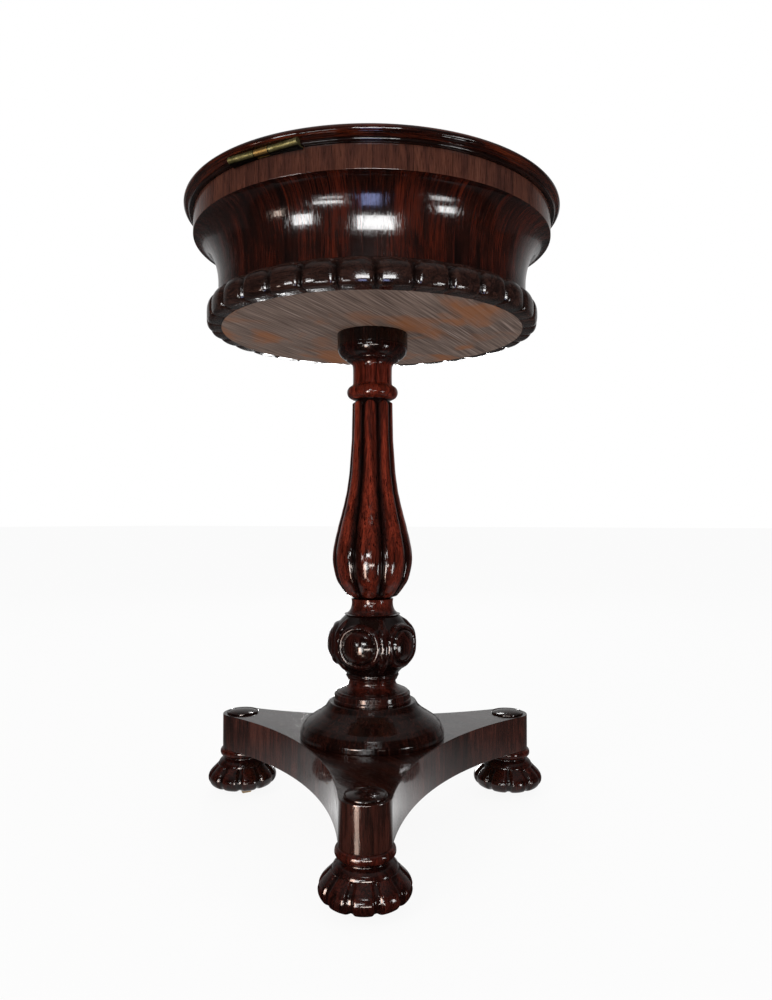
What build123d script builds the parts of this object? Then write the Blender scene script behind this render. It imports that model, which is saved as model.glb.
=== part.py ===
from build123d import *
import math
import os

os.makedirs("parts", exist_ok=True)

# Millimetres and degrees. +Z is up and the origin is on the floor under the middle of the column.
# The box faces -Y with its lock, and its lid is hinged at +Y. Angles are counted from +X.

# ---------------------------------------------------------------- driving sizes: base and feet
foot_count = 3
foot_circle_radius = 213.0
base_turn = -2.3
castor_drop = 8.0
foot_height = 52.0
platform_thickness = 46.5
platform_end_radius = 27.0
platform_waist_radius = 95.0

petal_count = 10
petal_rim_radius = 35.0
petal_belly_radius = 47.0
petal_top_radius = 33.0
petal_belly_height = 10.0
petal_height = 30.0
petal_depth_share = 0.085
petal_swell = [(0, 0), (0.8, 0.35), (1, 1)]
petal_return = [(0.25, 0.5), (1, 1)]
petal_collar_inset = 1.5
foot_neck_radius = 24.5
foot_ring_height = 10.0
foot_ring_radius = 30.0
foot_ring_round = 3.0
foot_neck_flare = 4.0
foot_spigot_radius = 11.0
foot_spigot_length = 28.0
flats_per_lobe = 4

base_cap_radius = 21.8
base_cap_height = 4.6
base_cap_edge = 1.4

plinth_height = 43.0
plinth_inset = 5.0
plinth_rim_height = 6.0
plinth_rim_inset = 5.0
plinth_cone_sag = 3.0
plinth_top_radius = 54.0

# ---------------------------------------------------------------- driving sizes: castors
castor_wheel_radius = 11.0
castor_wheel_width = 10.0
castor_trail = 15.0
castor_axle_radius = 2.0
castor_arm_thickness = 2.0
castor_arm_radius = 4.5
castor_side_gap = 0.5
castor_stem_radius = 4.0
castor_stem_length = 17.0
castor_head_radius = 9.5
castor_head_thickness = 3.0
castor_head_gap = 0.3
castor_plate_radius = 16.5
castor_plate_thickness = 2.0
castor_well_wall = 6.0
castor_headings = [147.0, 22.0, 292.0]

# ---------------------------------------------------------------- driving sizes: column
column_step_radius = 48.7
column_step_height = 10.5
column_step_inset = 1.6
base_cavetto_radius = 44.6
base_cavetto_height = 12.0
base_cavetto_sag = 2.6
lower_neck_radius = 29.3
lower_neck_height = 5.0
ball_height = 80.0
ball_radius = 54.5
ball_half_height = 46.0
ball_belly_height = 44.5
ball_turn = 27.5
ball_joint = 2.0
roundel_count = 5
roundel_radius = 28.5
roundel_rim_radius = 26.0
roundel_rim_sink = 4.7
roundel_face_sink = 9.5
roundel_boss_radius = 20.5
roundel_shoulder_radius = 15.0
roundel_shoulder_sink = 1.0
roundel_peak_rise = 2.3
ball_fillet_radius = 31.0
ball_fillet_height = 2.5
upper_neck_radius = 25.7
upper_neck_height = 17.5
vase_height = 250.0
vase_foot_radius = 27.0
vase_belly_radius = 50.5
vase_belly_height = 48.0
vase_shoulder_radius = 36.0
vase_shoulder_height = 118.0
vase_waist_radius = 28.0
vase_waist_height = 174.0
vase_top_radius = 25.6
vase_swell = [(0, 0), (0.42, 0.2), (0.78, 0.46), (0.96, 0.75), (1, 1)]
vase_shoulder_curve = [(0.22, 0.38), (0.58, 0.68), (1, 1)]
vase_waist_curve = [(0.6, 0.5), (1, 1)]
vase_lobe_count = 8
vase_lobe_depth_share = 0.12
vase_turn = 0.4
neck_ring_radius = 32.3
neck_ring_height = 18.0
neck_ring_round = 6.3
neck_ring_fillet = 1.0
column_neck_radius = 24.7
column_neck_height = 25.0
cup_cavetto_height = 7.0
cup_cavetto_sag = 1.4
cup_foot_radius = 32.8
cup_radius = 44.6
cup_height = 17.0
cup_bulge = 2.5
tenon_radius = 19.0
column_spigot_radius = 16.0
column_spigot_length = 14.0
wedge_length = 24.0
wedge_thickness = 3.2
wedge_tip_thickness = 1.4

# ---------------------------------------------------------------- driving sizes: box
top_collar_thickness = 17.0
collar_screw_circle = 31.0
collar_screw_count = 3
collar_screw_radius = 2.4
collar_screw_head_radius = 4.6
collar_screw_bite = 7.0
board_thickness = 10.0
cove_height = 99.5
cove_waist_radius = 192.0
cove_curve_height = 58.5
cove_rebate = 4.0
cove_wall_width = 12.0
cove_flare = 30.4
frieze_height = 26.2
frieze_wall = 15.4
gadroon_count = 32
gadroon_projection = 18.2
gadroon_height = 33.0
gadroon_foot_inset = 4.6
gadroon_depth = 5.5
gadroon_turn = 8.0
gadroon_widest_height = 15.0
gadroon_ledge_width = 1.0
gadroon_swell = [(0, 0), (0.8, 0.44), (1, 1)]
gadroon_return = [(0.15, 0.55), (0.45, 0.87), (1, 1)]

# ---------------------------------------------------------------- driving sizes: fittings inside the box
deck_thickness = 6.0
deck_clearance = 0.3
partition_thickness = 4.0
canister_length = 130.0
canister_width = 84.0
canister_height = 108.0
canister_offset = 104.0
canister_wall = 5.0
canister_clearance = 1.0
canister_lid_thickness = 4.0
canister_lid_rebate = 5.0
canister_lid_clearance = 0.4
canister_knob_radius = 7.0
canister_knob_height = 9.0
canister_knob_spigot = 2.5
bowl_offset = 62.0
bowl_radius = 49.0
bowl_foot_radius = 22.0
bowl_depth = 70.0
bowl_wall = 3.5
bowl_lip_width = 5.0
bowl_lip_thickness = 3.0
bowl_clearance = 1.0
bowl_ring_wall = 3.0
bowl_ring_width = 8.0
bowl_ring_height = 2.5

# ---------------------------------------------------------------- driving sizes: lid and hinge
lid_gap = 0.3
lid_overhang = 11.2
lid_thickness = 11.0
lid_rim_width = 28.6
lid_hollow_inset = 7.0
lid_hollow_height = 2.4
lid_ovolo_height = 6.4
lid_top_inset = 4.0
lid_bead_inset = 6.2
lid_bead_height = 4.0
lid_bead_round = 1.3
lid_lining_thickness = 3.0
hinge_length = 87.0
hinge_knuckle_radius = 3.8
hinge_knuckle_gap = 0.3
hinge_first_knuckle_share = 0.38
hinge_second_knuckle_share = 0.21
hinge_pin_radius = 1.6
hinge_leaf_thickness = 2.2
hinge_leaf_width = 13.0
running_clearance = 0.05
hinge_relief = 0.4

# ---------------------------------------------------------------- driving sizes: lock
lock_case_length = 46.0
lock_case_width = 10.0
lock_case_height = 20.0
lock_case_wall = 1.2
lock_selvedge_length = 60.0
lock_selvedge_width = 11.0
lock_selvedge_thickness = 1.8
lock_setback = 9.2
lock_staple_spacing = 18.0
lock_staple_thickness = 2.5
lock_staple_width = 5.6
lock_staple_length = 12.0
lock_staple_hole = 3.6
lock_clearance = 0.5
lock_bolt_throw = 5.0
lock_bolt_bar_height = 4.0
lock_bolt_lift = 0.3
link_plate_length = 44.0
link_plate_thickness = 1.8
keyhole_radius = 2.4
keyhole_slot_width = 2.4
keyhole_slot_length = 7.0
keyhole_drop = 10.5
escutcheon_border = 1.8
escutcheon_thickness = 1.3
escutcheon_sink = 0.1

# ---------------------------------------------------------------- radii worked out from the sizes
plinth_radius = platform_waist_radius - plinth_inset
castor_well_radius = petal_rim_radius - castor_well_wall
roundel_rim_height = ball_radius - roundel_rim_sink
roundel_face_height = ball_radius - roundel_face_sink
roundel_shoulder_height = ball_radius - roundel_shoulder_sink
roundel_peak_height = ball_radius + roundel_peak_rise
board_radius = cove_waist_radius - cove_rebate
cove_bore_radius = cove_waist_radius - cove_wall_width
gadroon_radius = board_radius + gadroon_projection
frieze_radius = cove_waist_radius + cove_flare
bowl_lip_radius = bowl_radius + bowl_lip_width
bowl_ring_radius = bowl_radius + bowl_ring_width
lid_radius = frieze_radius + lid_overhang
lid_panel_radius = lid_radius - lid_rim_width
lid_hollow_radius = lid_radius - lid_hollow_inset
lid_bead_radius = lid_radius - lid_bead_inset

# ---------------------------------------------------------------- heights worked out from the sizes
castor_well_height = petal_height - castor_well_wall
platform_bottom = castor_drop + foot_height
platform_top = platform_bottom + platform_thickness
column_bottom = platform_top + plinth_height
ball_bottom = column_bottom + column_step_height + base_cavetto_height + lower_neck_height
ball_top = ball_bottom + ball_height
vase_bottom = ball_top + ball_fillet_height + upper_neck_height
vase_top = vase_bottom + vase_height
neck_bottom = vase_top + neck_ring_height
cup_bottom = neck_bottom + column_neck_height + cup_cavetto_height
collar_bottom = cup_bottom + cup_height
board_bottom = collar_bottom + top_collar_thickness
board_top = board_bottom + board_thickness
cove_top = board_top + cove_height
frieze_top = cove_top + frieze_height
lid_bottom = frieze_top + lid_gap
lid_panel_bottom = lid_bottom + lid_bead_height
lid_top = lid_panel_bottom + lid_thickness
deck_top = cove_top + deck_thickness
bowl_seat = deck_top + bowl_ring_height
canister_top = board_top + canister_height
castor_plate_bottom = castor_drop + castor_well_height - castor_plate_thickness
foot_angles = [base_turn + 360 / foot_count * index for index in range(foot_count)]
hinge_axis_y = frieze_radius + hinge_knuckle_radius
hinge_axis_z = lid_bottom + hinge_leaf_thickness
lock_y = lock_setback - frieze_radius
selvedge_bottom = frieze_top - lock_selvedge_thickness
staple_tip = lid_bottom - lock_staple_length
staple_hole_height = staple_tip + lock_staple_hole / 2 + 2 * lock_clearance


# ---------------------------------------------------------------- shared forms
def ring_point(radius, angle):
    """Point at a radius and an angle in the floor plane."""
    turn = math.radians(angle)
    return radius * math.cos(turn), radius * math.sin(turn)


def turned(*outline):
    """Solid turned about Z from edges that close an outline of (radius, height) points."""
    return revolve(Plane.XZ * make_face(outline), Axis.Z, 360)


def disc(radius, bottom, top):
    """Plain round disc or peg between two heights."""
    return Pos(0, 0, bottom) * extrude(Circle(radius), top - bottom)


def ring(outer, inner, bottom, top):
    """Plain ring between two heights."""
    return Pos(0, 0, bottom) * extrude(Circle(outer) - Circle(inner), top - bottom)


def block(length, width, bottom, top):
    """Plain rectangular block between two heights, centred on the origin."""
    return Pos(0, 0, bottom) * extrude(Rectangle(length, width), top - bottom)


def lobed_section(radius, depth, count, turn, height):
    """Flat face whose rim is a ring of equal outward lobes, each cut in a few flats between its valleys."""
    rim = []
    step = 360 / count
    for index in range(count * flats_per_lobe):
        lobe_place = index % flats_per_lobe / flats_per_lobe
        fall = depth * (2 * lobe_place - 1) ** 2
        rim.append(ring_point(radius - fall, turn + step * index / flats_per_lobe))
    return Pos(0, 0, height) * make_face(Polyline(*rim, close=True))


def carved_lobes(crests, depth_share, count, turn):
    """Lobed body ruled through sections whose crests are (radius, height) points."""
    faces = [lobed_section(radius, radius * depth_share, count, turn, height) for radius, height in crests]
    return loft(faces, ruled=True)


def crests_between(start, end, shares):
    """Points from one (radius, height) to another, at shares of the change in radius and in height."""
    wide, high = end[0] - start[0], end[1] - start[1]
    return [(start[0] + wide * across, start[1] + high * up) for across, up in shares]


def at_each_foot(shape):
    """Copies of a shape, one at every foot, turned to face outwards."""
    return [Rot(0, 0, angle) * Pos(foot_circle_radius, 0, 0) * shape for angle in foot_angles]


def countersunk_screw(shank_radius, head_radius, length):
    """Screw with its flat head at the origin and its point towards +Z."""
    outline = Polyline(
        (0, 0), (head_radius, 0), (shank_radius, head_radius - shank_radius),
        (shank_radius, length), (0, length), close=True,
    )
    return turned(outline)


# ---------------------------------------------------------------- base
def platform_outline():
    """Three rounded ends joined by hollow sides that run tangent into them."""
    inset = platform_waist_radius - platform_end_radius
    side_centre_radius = (foot_circle_radius**2 - inset**2) / (foot_circle_radius - 2 * inset)
    half_step = 180 / foot_count
    rim = []
    for angle in foot_angles:
        end = Vector(*ring_point(foot_circle_radius, angle))
        next_end = Vector(*ring_point(foot_circle_radius, angle + 2 * half_step))
        before = Vector(*ring_point(side_centre_radius, angle - half_step))
        after = Vector(*ring_point(side_centre_radius, angle + half_step))
        arrive = end + (before - end).normalized() * platform_end_radius
        tip = Vector(*ring_point(foot_circle_radius + platform_end_radius, angle))
        leave = end + (after - end).normalized() * platform_end_radius
        waist = Vector(*ring_point(platform_waist_radius, angle + half_step))
        next_arrive = next_end + (after - next_end).normalized() * platform_end_radius
        rim.append(ThreePointArc(arrive, tip, leave))
        rim.append(ThreePointArc(leave, waist, next_arrive))
    return make_face(rim)


def base_platform():
    """Tri-form platform with a socket for each foot and a through mortise for the column."""
    slab = Pos(0, 0, platform_bottom) * extrude(platform_outline(), platform_thickness)
    socket = disc(foot_spigot_radius, platform_bottom, platform_bottom + foot_spigot_length)
    mortise = disc(tenon_radius, platform_bottom, platform_top)
    return slab - at_each_foot(socket) - mortise


def base_cap():
    """Low domed turning that covers the platform above a foot."""
    crown = (0, platform_top + base_cap_height)
    edge_top = platform_top + base_cap_edge
    rim = (base_cap_radius, edge_top)
    dome_rise = base_cap_height - base_cap_edge
    dome_radius = (base_cap_radius**2 + dome_rise**2) / (2 * dome_rise)
    return turned(
        Polyline(crown, (0, platform_top), (base_cap_radius, platform_top), rim),
        RadiusArc(rim, crown, -dome_radius),
    )


def foot():
    """Lotus foot: carved petals, a turned neck and ring, a spigot, and a well for the castor."""
    petal_top = castor_drop + petal_height
    rim = (petal_rim_radius, castor_drop)
    belly = (petal_belly_radius, castor_drop + petal_belly_height)
    crests = crests_between(rim, belly, petal_swell)
    crests += crests_between(belly, (petal_top_radius, petal_top), petal_return)
    petals = carved_lobes(crests, petal_depth_share, petal_count, 180 / petal_count)
    collar_radius = petal_top_radius - petal_collar_inset
    ring_bottom = platform_bottom - foot_ring_height
    ring_core = (foot_ring_radius + foot_neck_radius) / 2
    stem = turned(
        Polyline(
            (0, petal_top), (collar_radius, petal_top), (foot_neck_radius, ring_bottom - foot_neck_flare),
            (ring_core, ring_bottom), (foot_ring_radius, ring_bottom + foot_ring_round),
            (foot_ring_radius, platform_bottom - foot_ring_round), (ring_core, platform_bottom),
            (0, platform_bottom), close=True,
        )
    )
    spigot = disc(foot_spigot_radius, platform_bottom, platform_bottom + foot_spigot_length)
    well = disc(castor_well_radius, castor_drop, castor_drop + castor_well_height)
    bore_top = castor_plate_bottom + castor_stem_length + castor_head_gap
    stem_bore = disc(castor_stem_radius + running_clearance, castor_plate_bottom, bore_top)
    return petals + stem + spigot - well - stem_bore


def plinth_disc():
    """Turned cone that seats the column on the platform."""
    rim_top = platform_top + plinth_rim_height
    cone_foot = (plinth_radius - plinth_rim_inset, rim_top + 2 * plinth_rim_inset)
    cone_top = (plinth_top_radius, column_bottom)
    return turned(
        Polyline(
            cone_top, (tenon_radius, column_bottom), (tenon_radius, platform_top),
            (plinth_radius, platform_top), (plinth_radius, rim_top), cone_foot,
        ),
        SagittaArc(cone_foot, cone_top, plinth_cone_sag),
    )


# ---------------------------------------------------------------- castors
def castor_plate():
    """Round plate with the bore that the castor stem turns in."""
    bore = castor_stem_radius + running_clearance
    return ring(castor_plate_radius, bore, castor_plate_bottom, castor_plate_bottom + castor_plate_thickness)


def castor_axle():
    """Plain pin through both arms and the wheel."""
    length = castor_wheel_width + 2 * (castor_side_gap + castor_arm_thickness)
    return Pos(castor_trail, 0, castor_wheel_radius) * Rot(90, 0, 0) * Cylinder(castor_axle_radius, length)


def castor_fork():
    """Stem, head and two arms, with the wheel trailing towards +X."""
    head_top = castor_plate_bottom - castor_head_gap
    head_bottom = head_top - castor_head_thickness
    stem = disc(castor_stem_radius, head_top, castor_plate_bottom + castor_stem_length)
    head = disc(castor_head_radius, head_bottom, head_top)
    eye = Pos(castor_trail, castor_wheel_radius) * Circle(castor_arm_radius)
    root = Pos(0, (head_bottom + head_top) / 2) * Rectangle(castor_head_radius, castor_head_thickness)
    cheek = make_hull(eye.edges() + root.edges())
    fork = stem + head
    for side in (-1, 1):
        middle = side * (castor_wheel_width / 2 + castor_side_gap + castor_arm_thickness / 2)
        fork += Pos(0, middle, 0) * extrude(Plane.XZ * cheek, castor_arm_thickness / 2, both=True)
    return fork - castor_axle()


def castor_wheel():
    """Solid brass wheel on the axle."""
    bore = castor_axle_radius + running_clearance
    wheel = Cylinder(castor_wheel_radius, castor_wheel_width) - Cylinder(bore, castor_wheel_width)
    return Pos(castor_trail, 0, castor_wheel_radius) * Rot(90, 0, 0) * wheel


# ---------------------------------------------------------------- column
def roundel():
    """Carved boss inside a raised rim, facing towards +Z from the middle of the ball."""
    inner_rim = 2 * roundel_rim_radius - roundel_radius
    return turned(
        Polyline(
            (0, roundel_peak_height), (0, roundel_face_height / 2), (roundel_radius, roundel_face_height / 2),
            (roundel_radius, roundel_face_height), (roundel_rim_radius, roundel_rim_height),
            (inner_rim, roundel_face_height), (roundel_boss_radius, roundel_face_height),
            (roundel_shoulder_radius, roundel_shoulder_height), close=True,
        )
    )


def carved_ball():
    """Turned ball with a band of roundels carved into it."""
    belly = ball_bottom + ball_belly_height
    window = Pos(ball_radius / 2, ball_bottom + ball_height / 2) * Rectangle(ball_radius, ball_height)
    half_section = (Pos(0, belly) * Ellipse(ball_radius, ball_half_height)) & window
    ball = revolve(Plane.XZ * half_section, Axis.Z, 360)
    clear = disc(roundel_radius, roundel_face_height, ball_radius + ball_joint)
    for index in range(roundel_count):
        place = Pos(0, 0, belly) * Rot(0, 0, ball_turn + 360 / roundel_count * index) * Rot(0, 90, 0)
        ball = ball - place * clear + place * roundel()
    return ball


def carved_vase():
    """Lobed baluster: each lobe swells from the foot to the belly and thins to the top."""
    lower_end = (vase_foot_radius, vase_bottom)
    belly = (vase_belly_radius, vase_bottom + vase_belly_height)
    shoulder = (vase_shoulder_radius, vase_bottom + vase_shoulder_height)
    waist = (vase_waist_radius, vase_bottom + vase_waist_height)
    crests = crests_between(lower_end, belly, vase_swell)
    crests += crests_between(belly, shoulder, vase_shoulder_curve)
    crests += crests_between(shoulder, waist, vase_waist_curve)
    crests.append((vase_top_radius, vase_top))
    return carved_lobes(crests, vase_lobe_depth_share, vase_lobe_count, vase_turn)


def column_wedge():
    """Thin wedge that spreads the tenon from below."""
    low = platform_bottom
    high = platform_bottom + wedge_length
    face = make_face(
        Polyline(
            (-wedge_thickness / 2, low), (wedge_thickness / 2, low),
            (wedge_tip_thickness / 2, high), (-wedge_tip_thickness / 2, high), close=True,
        )
    )
    blade = extrude(Plane.XZ * face, tenon_radius, both=True)
    return Rot(0, 0, base_turn) * (blade & disc(tenon_radius, low, high))


def column():
    """Baluster column with its through tenon at the foot and a spigot into the top collar."""
    step_top = column_bottom + column_step_height
    step_middle = (column_bottom + step_top) / 2
    cavetto_top = step_top + base_cavetto_height
    foot_turning = turned(
        Polyline(
            (lower_neck_radius, cavetto_top), (lower_neck_radius, ball_bottom + ball_joint),
            (0, ball_bottom + ball_joint),
            (0, platform_bottom), (tenon_radius, platform_bottom), (tenon_radius, column_bottom),
            (column_step_radius, column_bottom), (column_step_radius, step_middle),
            (column_step_radius - column_step_inset, step_middle),
            (column_step_radius - column_step_inset, step_top),
            (base_cavetto_radius, step_top),
        ),
        SagittaArc((base_cavetto_radius, step_top), (lower_neck_radius, cavetto_top), base_cavetto_sag),
    )
    ball_neck = turned(
        Polyline(
            (0, ball_top - ball_joint), (ball_fillet_radius, ball_top - ball_joint),
            (ball_fillet_radius, ball_top + ball_fillet_height),
            (upper_neck_radius, ball_top + ball_fillet_height), (upper_neck_radius, vase_bottom),
            (0, vase_bottom), close=True,
        )
    )
    ring_core = column_neck_radius + neck_ring_fillet
    cavetto_foot = (column_neck_radius, neck_bottom + column_neck_height)
    cup_foot = (cup_foot_radius, cup_bottom)
    cup_rim = (cup_radius, collar_bottom)
    top_turning = turned(
        SagittaArc(cup_rim, cup_foot, cup_bulge),
        SagittaArc(cup_foot, cavetto_foot, -cup_cavetto_sag),
        Polyline(
            cavetto_foot, (column_neck_radius, neck_bottom), (ring_core, neck_bottom),
            (neck_ring_radius, neck_bottom - neck_ring_round),
            (neck_ring_radius, vase_top + neck_ring_round), (ring_core, vase_top), (0, vase_top),
            (0, collar_bottom + column_spigot_length),
            (column_spigot_radius, collar_bottom + column_spigot_length),
            (column_spigot_radius, collar_bottom), cup_rim,
        ),
    )
    return foot_turning + carved_ball() + ball_neck + carved_vase() + top_turning - column_wedge()


# ---------------------------------------------------------------- box
def collar_screws():
    """Screws up through the collar into the bottom board, hidden by the column's cup."""
    screw = countersunk_screw(
        collar_screw_radius, collar_screw_head_radius, top_collar_thickness + collar_screw_bite
    )
    place = Pos(collar_screw_circle, 0, collar_bottom)
    step = 360 / collar_screw_count
    return [Rot(0, 0, step * index) * place * screw for index in range(collar_screw_count)]


def top_collar():
    """Turned disc screwed under the box, which the column's spigot enters."""
    body = disc(cup_radius, collar_bottom, board_bottom)
    bore = disc(column_spigot_radius, collar_bottom, collar_bottom + column_spigot_length)
    return body - bore - collar_screws()


def bottom_board():
    """Round board that closes the box from below."""
    return disc(board_radius, board_bottom, board_top) - collar_screws()


def cove_wall():
    """Hollow-moulded wall that flares from the gadrooned foot to the frieze."""
    shoulder = board_bottom + gadroon_height
    curve_bottom = cove_top - cove_curve_height
    return turned(
        Polyline(
            (frieze_radius, cove_top), (cove_bore_radius, cove_top), (cove_bore_radius, board_top),
            (board_radius, board_top), (board_radius, shoulder), (cove_waist_radius, shoulder),
            (cove_waist_radius, curve_bottom),
        ),
        EllipticalCenterArc(
            (frieze_radius, curve_bottom),
            frieze_radius - cove_waist_radius,
            cove_curve_height,
            start_angle=90,
            arc_size=90,
        ),
    )


def gadroon_ring():
    """Ring of carved gadroons round the foot of the box, flush with the bottom board."""
    top = board_bottom + gadroon_height
    lower_edge = (gadroon_radius - gadroon_foot_inset, board_bottom)
    widest = (gadroon_radius, board_bottom + gadroon_widest_height)
    crests = crests_between(lower_edge, widest, gadroon_swell)
    crests += crests_between(widest, (cove_waist_radius + gadroon_ledge_width, top), gadroon_return)
    share = gadroon_depth / gadroon_radius
    return carved_lobes(crests, share, gadroon_count, gadroon_turn) - disc(board_radius, board_bottom, top)


def escutcheon_outline(border):
    """Keyhole outline with a border, in the plane of the frieze's front."""
    height = frieze_top - keyhole_drop
    eye = Pos(0, height) * Circle(keyhole_radius + border)
    slot_length = keyhole_slot_length + border
    slot = Pos(0, height - slot_length / 2) * Rectangle(keyhole_slot_width + 2 * border, slot_length)
    return eye + slot


def front_cut(outline, outer_y, inner_y):
    """Prism through the front of the box between two distances from its middle."""
    return Pos(0, inner_y, 0) * extrude(Plane.XZ * outline, inner_y - outer_y)


def frieze_band():
    """Upright band at the rim, cut for the hinge leaf, the lock and its keyhole."""
    band = ring(frieze_radius, frieze_radius - frieze_wall, cove_top, frieze_top)
    band -= hinge_bed(frieze_top - hinge_leaf_thickness, frieze_top)
    band -= Pos(0, lock_y, 0) * block(
        lock_case_length, lock_case_width, selvedge_bottom - lock_case_height, selvedge_bottom
    )
    band -= Pos(0, lock_y, 0) * block(
        lock_selvedge_length, lock_selvedge_width, selvedge_bottom, frieze_top
    )
    band -= front_cut(escutcheon_outline(0), -frieze_radius - 1, lock_y)
    band -= front_cut(
        escutcheon_outline(escutcheon_border), -frieze_radius - 1, escutcheon_thickness - frieze_radius
    )
    return band


# ---------------------------------------------------------------- fittings inside the box
def bowl_places(shape):
    """The shape at the back and front bowl places."""
    return [Pos(0, side * bowl_offset, 0) * shape for side in (1, -1)]


def canister_places(shape):
    """The shape at the left and right canister places."""
    return [Pos(side * canister_offset, 0, 0) * shape for side in (1, -1)]


def deck():
    """Loose tray board with openings for two canisters and two mixing bowls."""
    board = disc(frieze_radius - frieze_wall - deck_clearance, cove_top, deck_top)
    canister_gap = 2 * canister_clearance
    opening = block(canister_width + canister_gap, canister_length + canister_gap, cove_top, deck_top)
    bowl_hole = disc(bowl_radius + bowl_clearance + bowl_ring_wall, cove_top, deck_top)
    return board - canister_places(opening) - bowl_places(bowl_hole)


def partition():
    """Upright board between a canister and the bowls, carrying the deck."""
    outer_face = canister_offset - canister_width / 2 - canister_clearance
    reach = math.sqrt((cove_bore_radius - deck_clearance) ** 2 - outer_face**2)
    board = block(partition_thickness, 2 * reach, board_top, cove_top)
    return Pos(outer_face - partition_thickness / 2, 0, 0) * board


def canister_body():
    """Open rectangular tea canister."""
    outer = block(canister_width, canister_length, board_top, canister_top)
    inner = block(
        canister_width - 2 * canister_wall, canister_length - 2 * canister_wall,
        board_top + canister_wall, canister_top,
    )
    return outer - inner


def canister_lid():
    """Flat lid with a rebated plug and a socket for its knob."""
    plug_gap = 2 * (canister_wall + canister_lid_clearance)
    top = block(canister_width, canister_length, canister_top, canister_top + canister_lid_thickness)
    plug = block(
        canister_width - plug_gap, canister_length - plug_gap,
        canister_top - canister_lid_rebate, canister_top,
    )
    return top + plug - canister_knob()


def canister_knob():
    """Small turned knob with a spigot into the lid."""
    seat = canister_top + canister_lid_thickness
    return turned(
        Polyline(
            (0, seat - canister_lid_thickness), (canister_knob_spigot, seat - canister_lid_thickness),
            (canister_knob_spigot, seat), (canister_knob_radius * 0.7, seat),
            (canister_knob_radius * 0.45, seat + canister_knob_height * 0.4),
            (canister_knob_radius, seat + canister_knob_height * 0.7),
            (canister_knob_radius * 0.6, seat + canister_knob_height),
            (0, seat + canister_knob_height), close=True,
        )
    )


def bowl_ring():
    """Turned ring that lines a bowl hole and carries the bowl's lip."""
    inner = bowl_radius + bowl_clearance
    return ring(inner + bowl_ring_wall, inner, cove_top, deck_top) + ring(
        bowl_ring_radius, inner, deck_top, bowl_seat
    )


def glass_bowl():
    """Mixing bowl that hangs in its ring by a flat lip."""
    lip_top = bowl_seat + bowl_lip_thickness
    bottom = lip_top - bowl_depth
    waist = bottom + bowl_depth * 0.38
    shoulder = bottom + bowl_depth * 0.12
    return turned(
        Polyline(
            (0, bottom), (bowl_foot_radius, bottom), (bowl_radius * 0.72, shoulder),
            (bowl_radius * 0.93, waist), (bowl_radius, bowl_seat), (bowl_lip_radius, bowl_seat),
            (bowl_lip_radius, lip_top), (bowl_radius - bowl_wall, lip_top),
            (bowl_radius * 0.93 - bowl_wall, waist + bowl_wall / 2),
            (bowl_radius * 0.72 - bowl_wall, shoulder + bowl_wall),
            (bowl_foot_radius - bowl_wall, bottom + bowl_wall), (0, bottom + bowl_wall), close=True,
        )
    )


# ---------------------------------------------------------------- lid
def hinge_barrel(radius, start, end):
    """Cylinder on the hinge axis between two distances along X."""
    place = Pos((start + end) / 2, hinge_axis_y, hinge_axis_z) * Rot(0, 90, 0)
    return place * Cylinder(radius, end - start)


def hinge_bed(bottom, top):
    """Straight bed for a hinge leaf, open to the back."""
    inner_y = hinge_axis_y - hinge_knuckle_radius - hinge_leaf_width
    depth = hinge_leaf_width + 3 * hinge_knuckle_radius
    reach = hinge_length / 2 + hinge_relief
    bed = Pos(0, inner_y + depth / 2, 0) * block(2 * reach, depth, bottom, top)
    return bed + hinge_barrel(hinge_knuckle_radius + hinge_relief, -reach, reach)


def lid_panel():
    """Round veneered board inside the lid's moulded rim."""
    return disc(lid_panel_radius, lid_panel_bottom, lid_top)


def lid_rim():
    """Moulded rim of the lid: ovolo above a hollow."""
    hollow_top = lid_panel_bottom + lid_hollow_height
    ovolo_bottom = lid_top - lid_ovolo_height
    rim = turned(
        Polyline(
            (lid_radius - lid_top_inset, lid_top), (lid_panel_radius, lid_top),
            (lid_panel_radius, lid_panel_bottom), (lid_hollow_radius, lid_panel_bottom),
            (lid_hollow_radius, hollow_top), (lid_radius - 1, hollow_top), (lid_radius, ovolo_bottom),
        ),
        RadiusArc((lid_radius, ovolo_bottom), (lid_radius - lid_top_inset, lid_top), lid_ovolo_height * 1.2),
    )
    reach = hinge_length / 2 + hinge_relief
    return rim - hinge_barrel(hinge_knuckle_radius + hinge_relief, -reach, reach)


def lid_bead():
    """Bead that closes down on the box and frames the lining, cut for the hinge and the lock."""
    middle = lid_bottom + lid_bead_height / 2
    core = lid_bead_radius - lid_bead_round
    bead = turned(
        Polyline(
            (lid_panel_radius, lid_bottom), (core, lid_bottom), (lid_bead_radius, middle),
            (core, lid_panel_bottom), (lid_panel_radius, lid_panel_bottom), close=True,
        )
    )
    bead -= hinge_bed(lid_bottom, lid_bottom + hinge_leaf_thickness)
    knuckle_room = 2 * (hinge_knuckle_radius + hinge_relief)
    bead -= Pos(0, hinge_axis_y, 0) * block(
        hinge_length + 2 * hinge_relief, knuckle_room, lid_bottom, lid_panel_bottom
    )
    return bead - Pos(0, lock_y, 0) * block(
        link_plate_length, lock_selvedge_width, lid_bottom, lid_bottom + link_plate_thickness
    )


def lid_lining():
    """Velvet-covered pad inside the lid."""
    return disc(lid_panel_radius - deck_clearance, lid_panel_bottom - lid_lining_thickness, lid_panel_bottom)


# ---------------------------------------------------------------- hinge
def knuckle_spans():
    """Start and end along X of each knuckle, from the +X end."""
    reach = hinge_length / 2
    first = reach - hinge_length * hinge_first_knuckle_share
    second = first - hinge_length * hinge_second_knuckle_share
    half_gap = hinge_knuckle_gap / 2
    return [(first + half_gap, reach), (second + half_gap, first - half_gap), (-reach, second - half_gap)]


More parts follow.
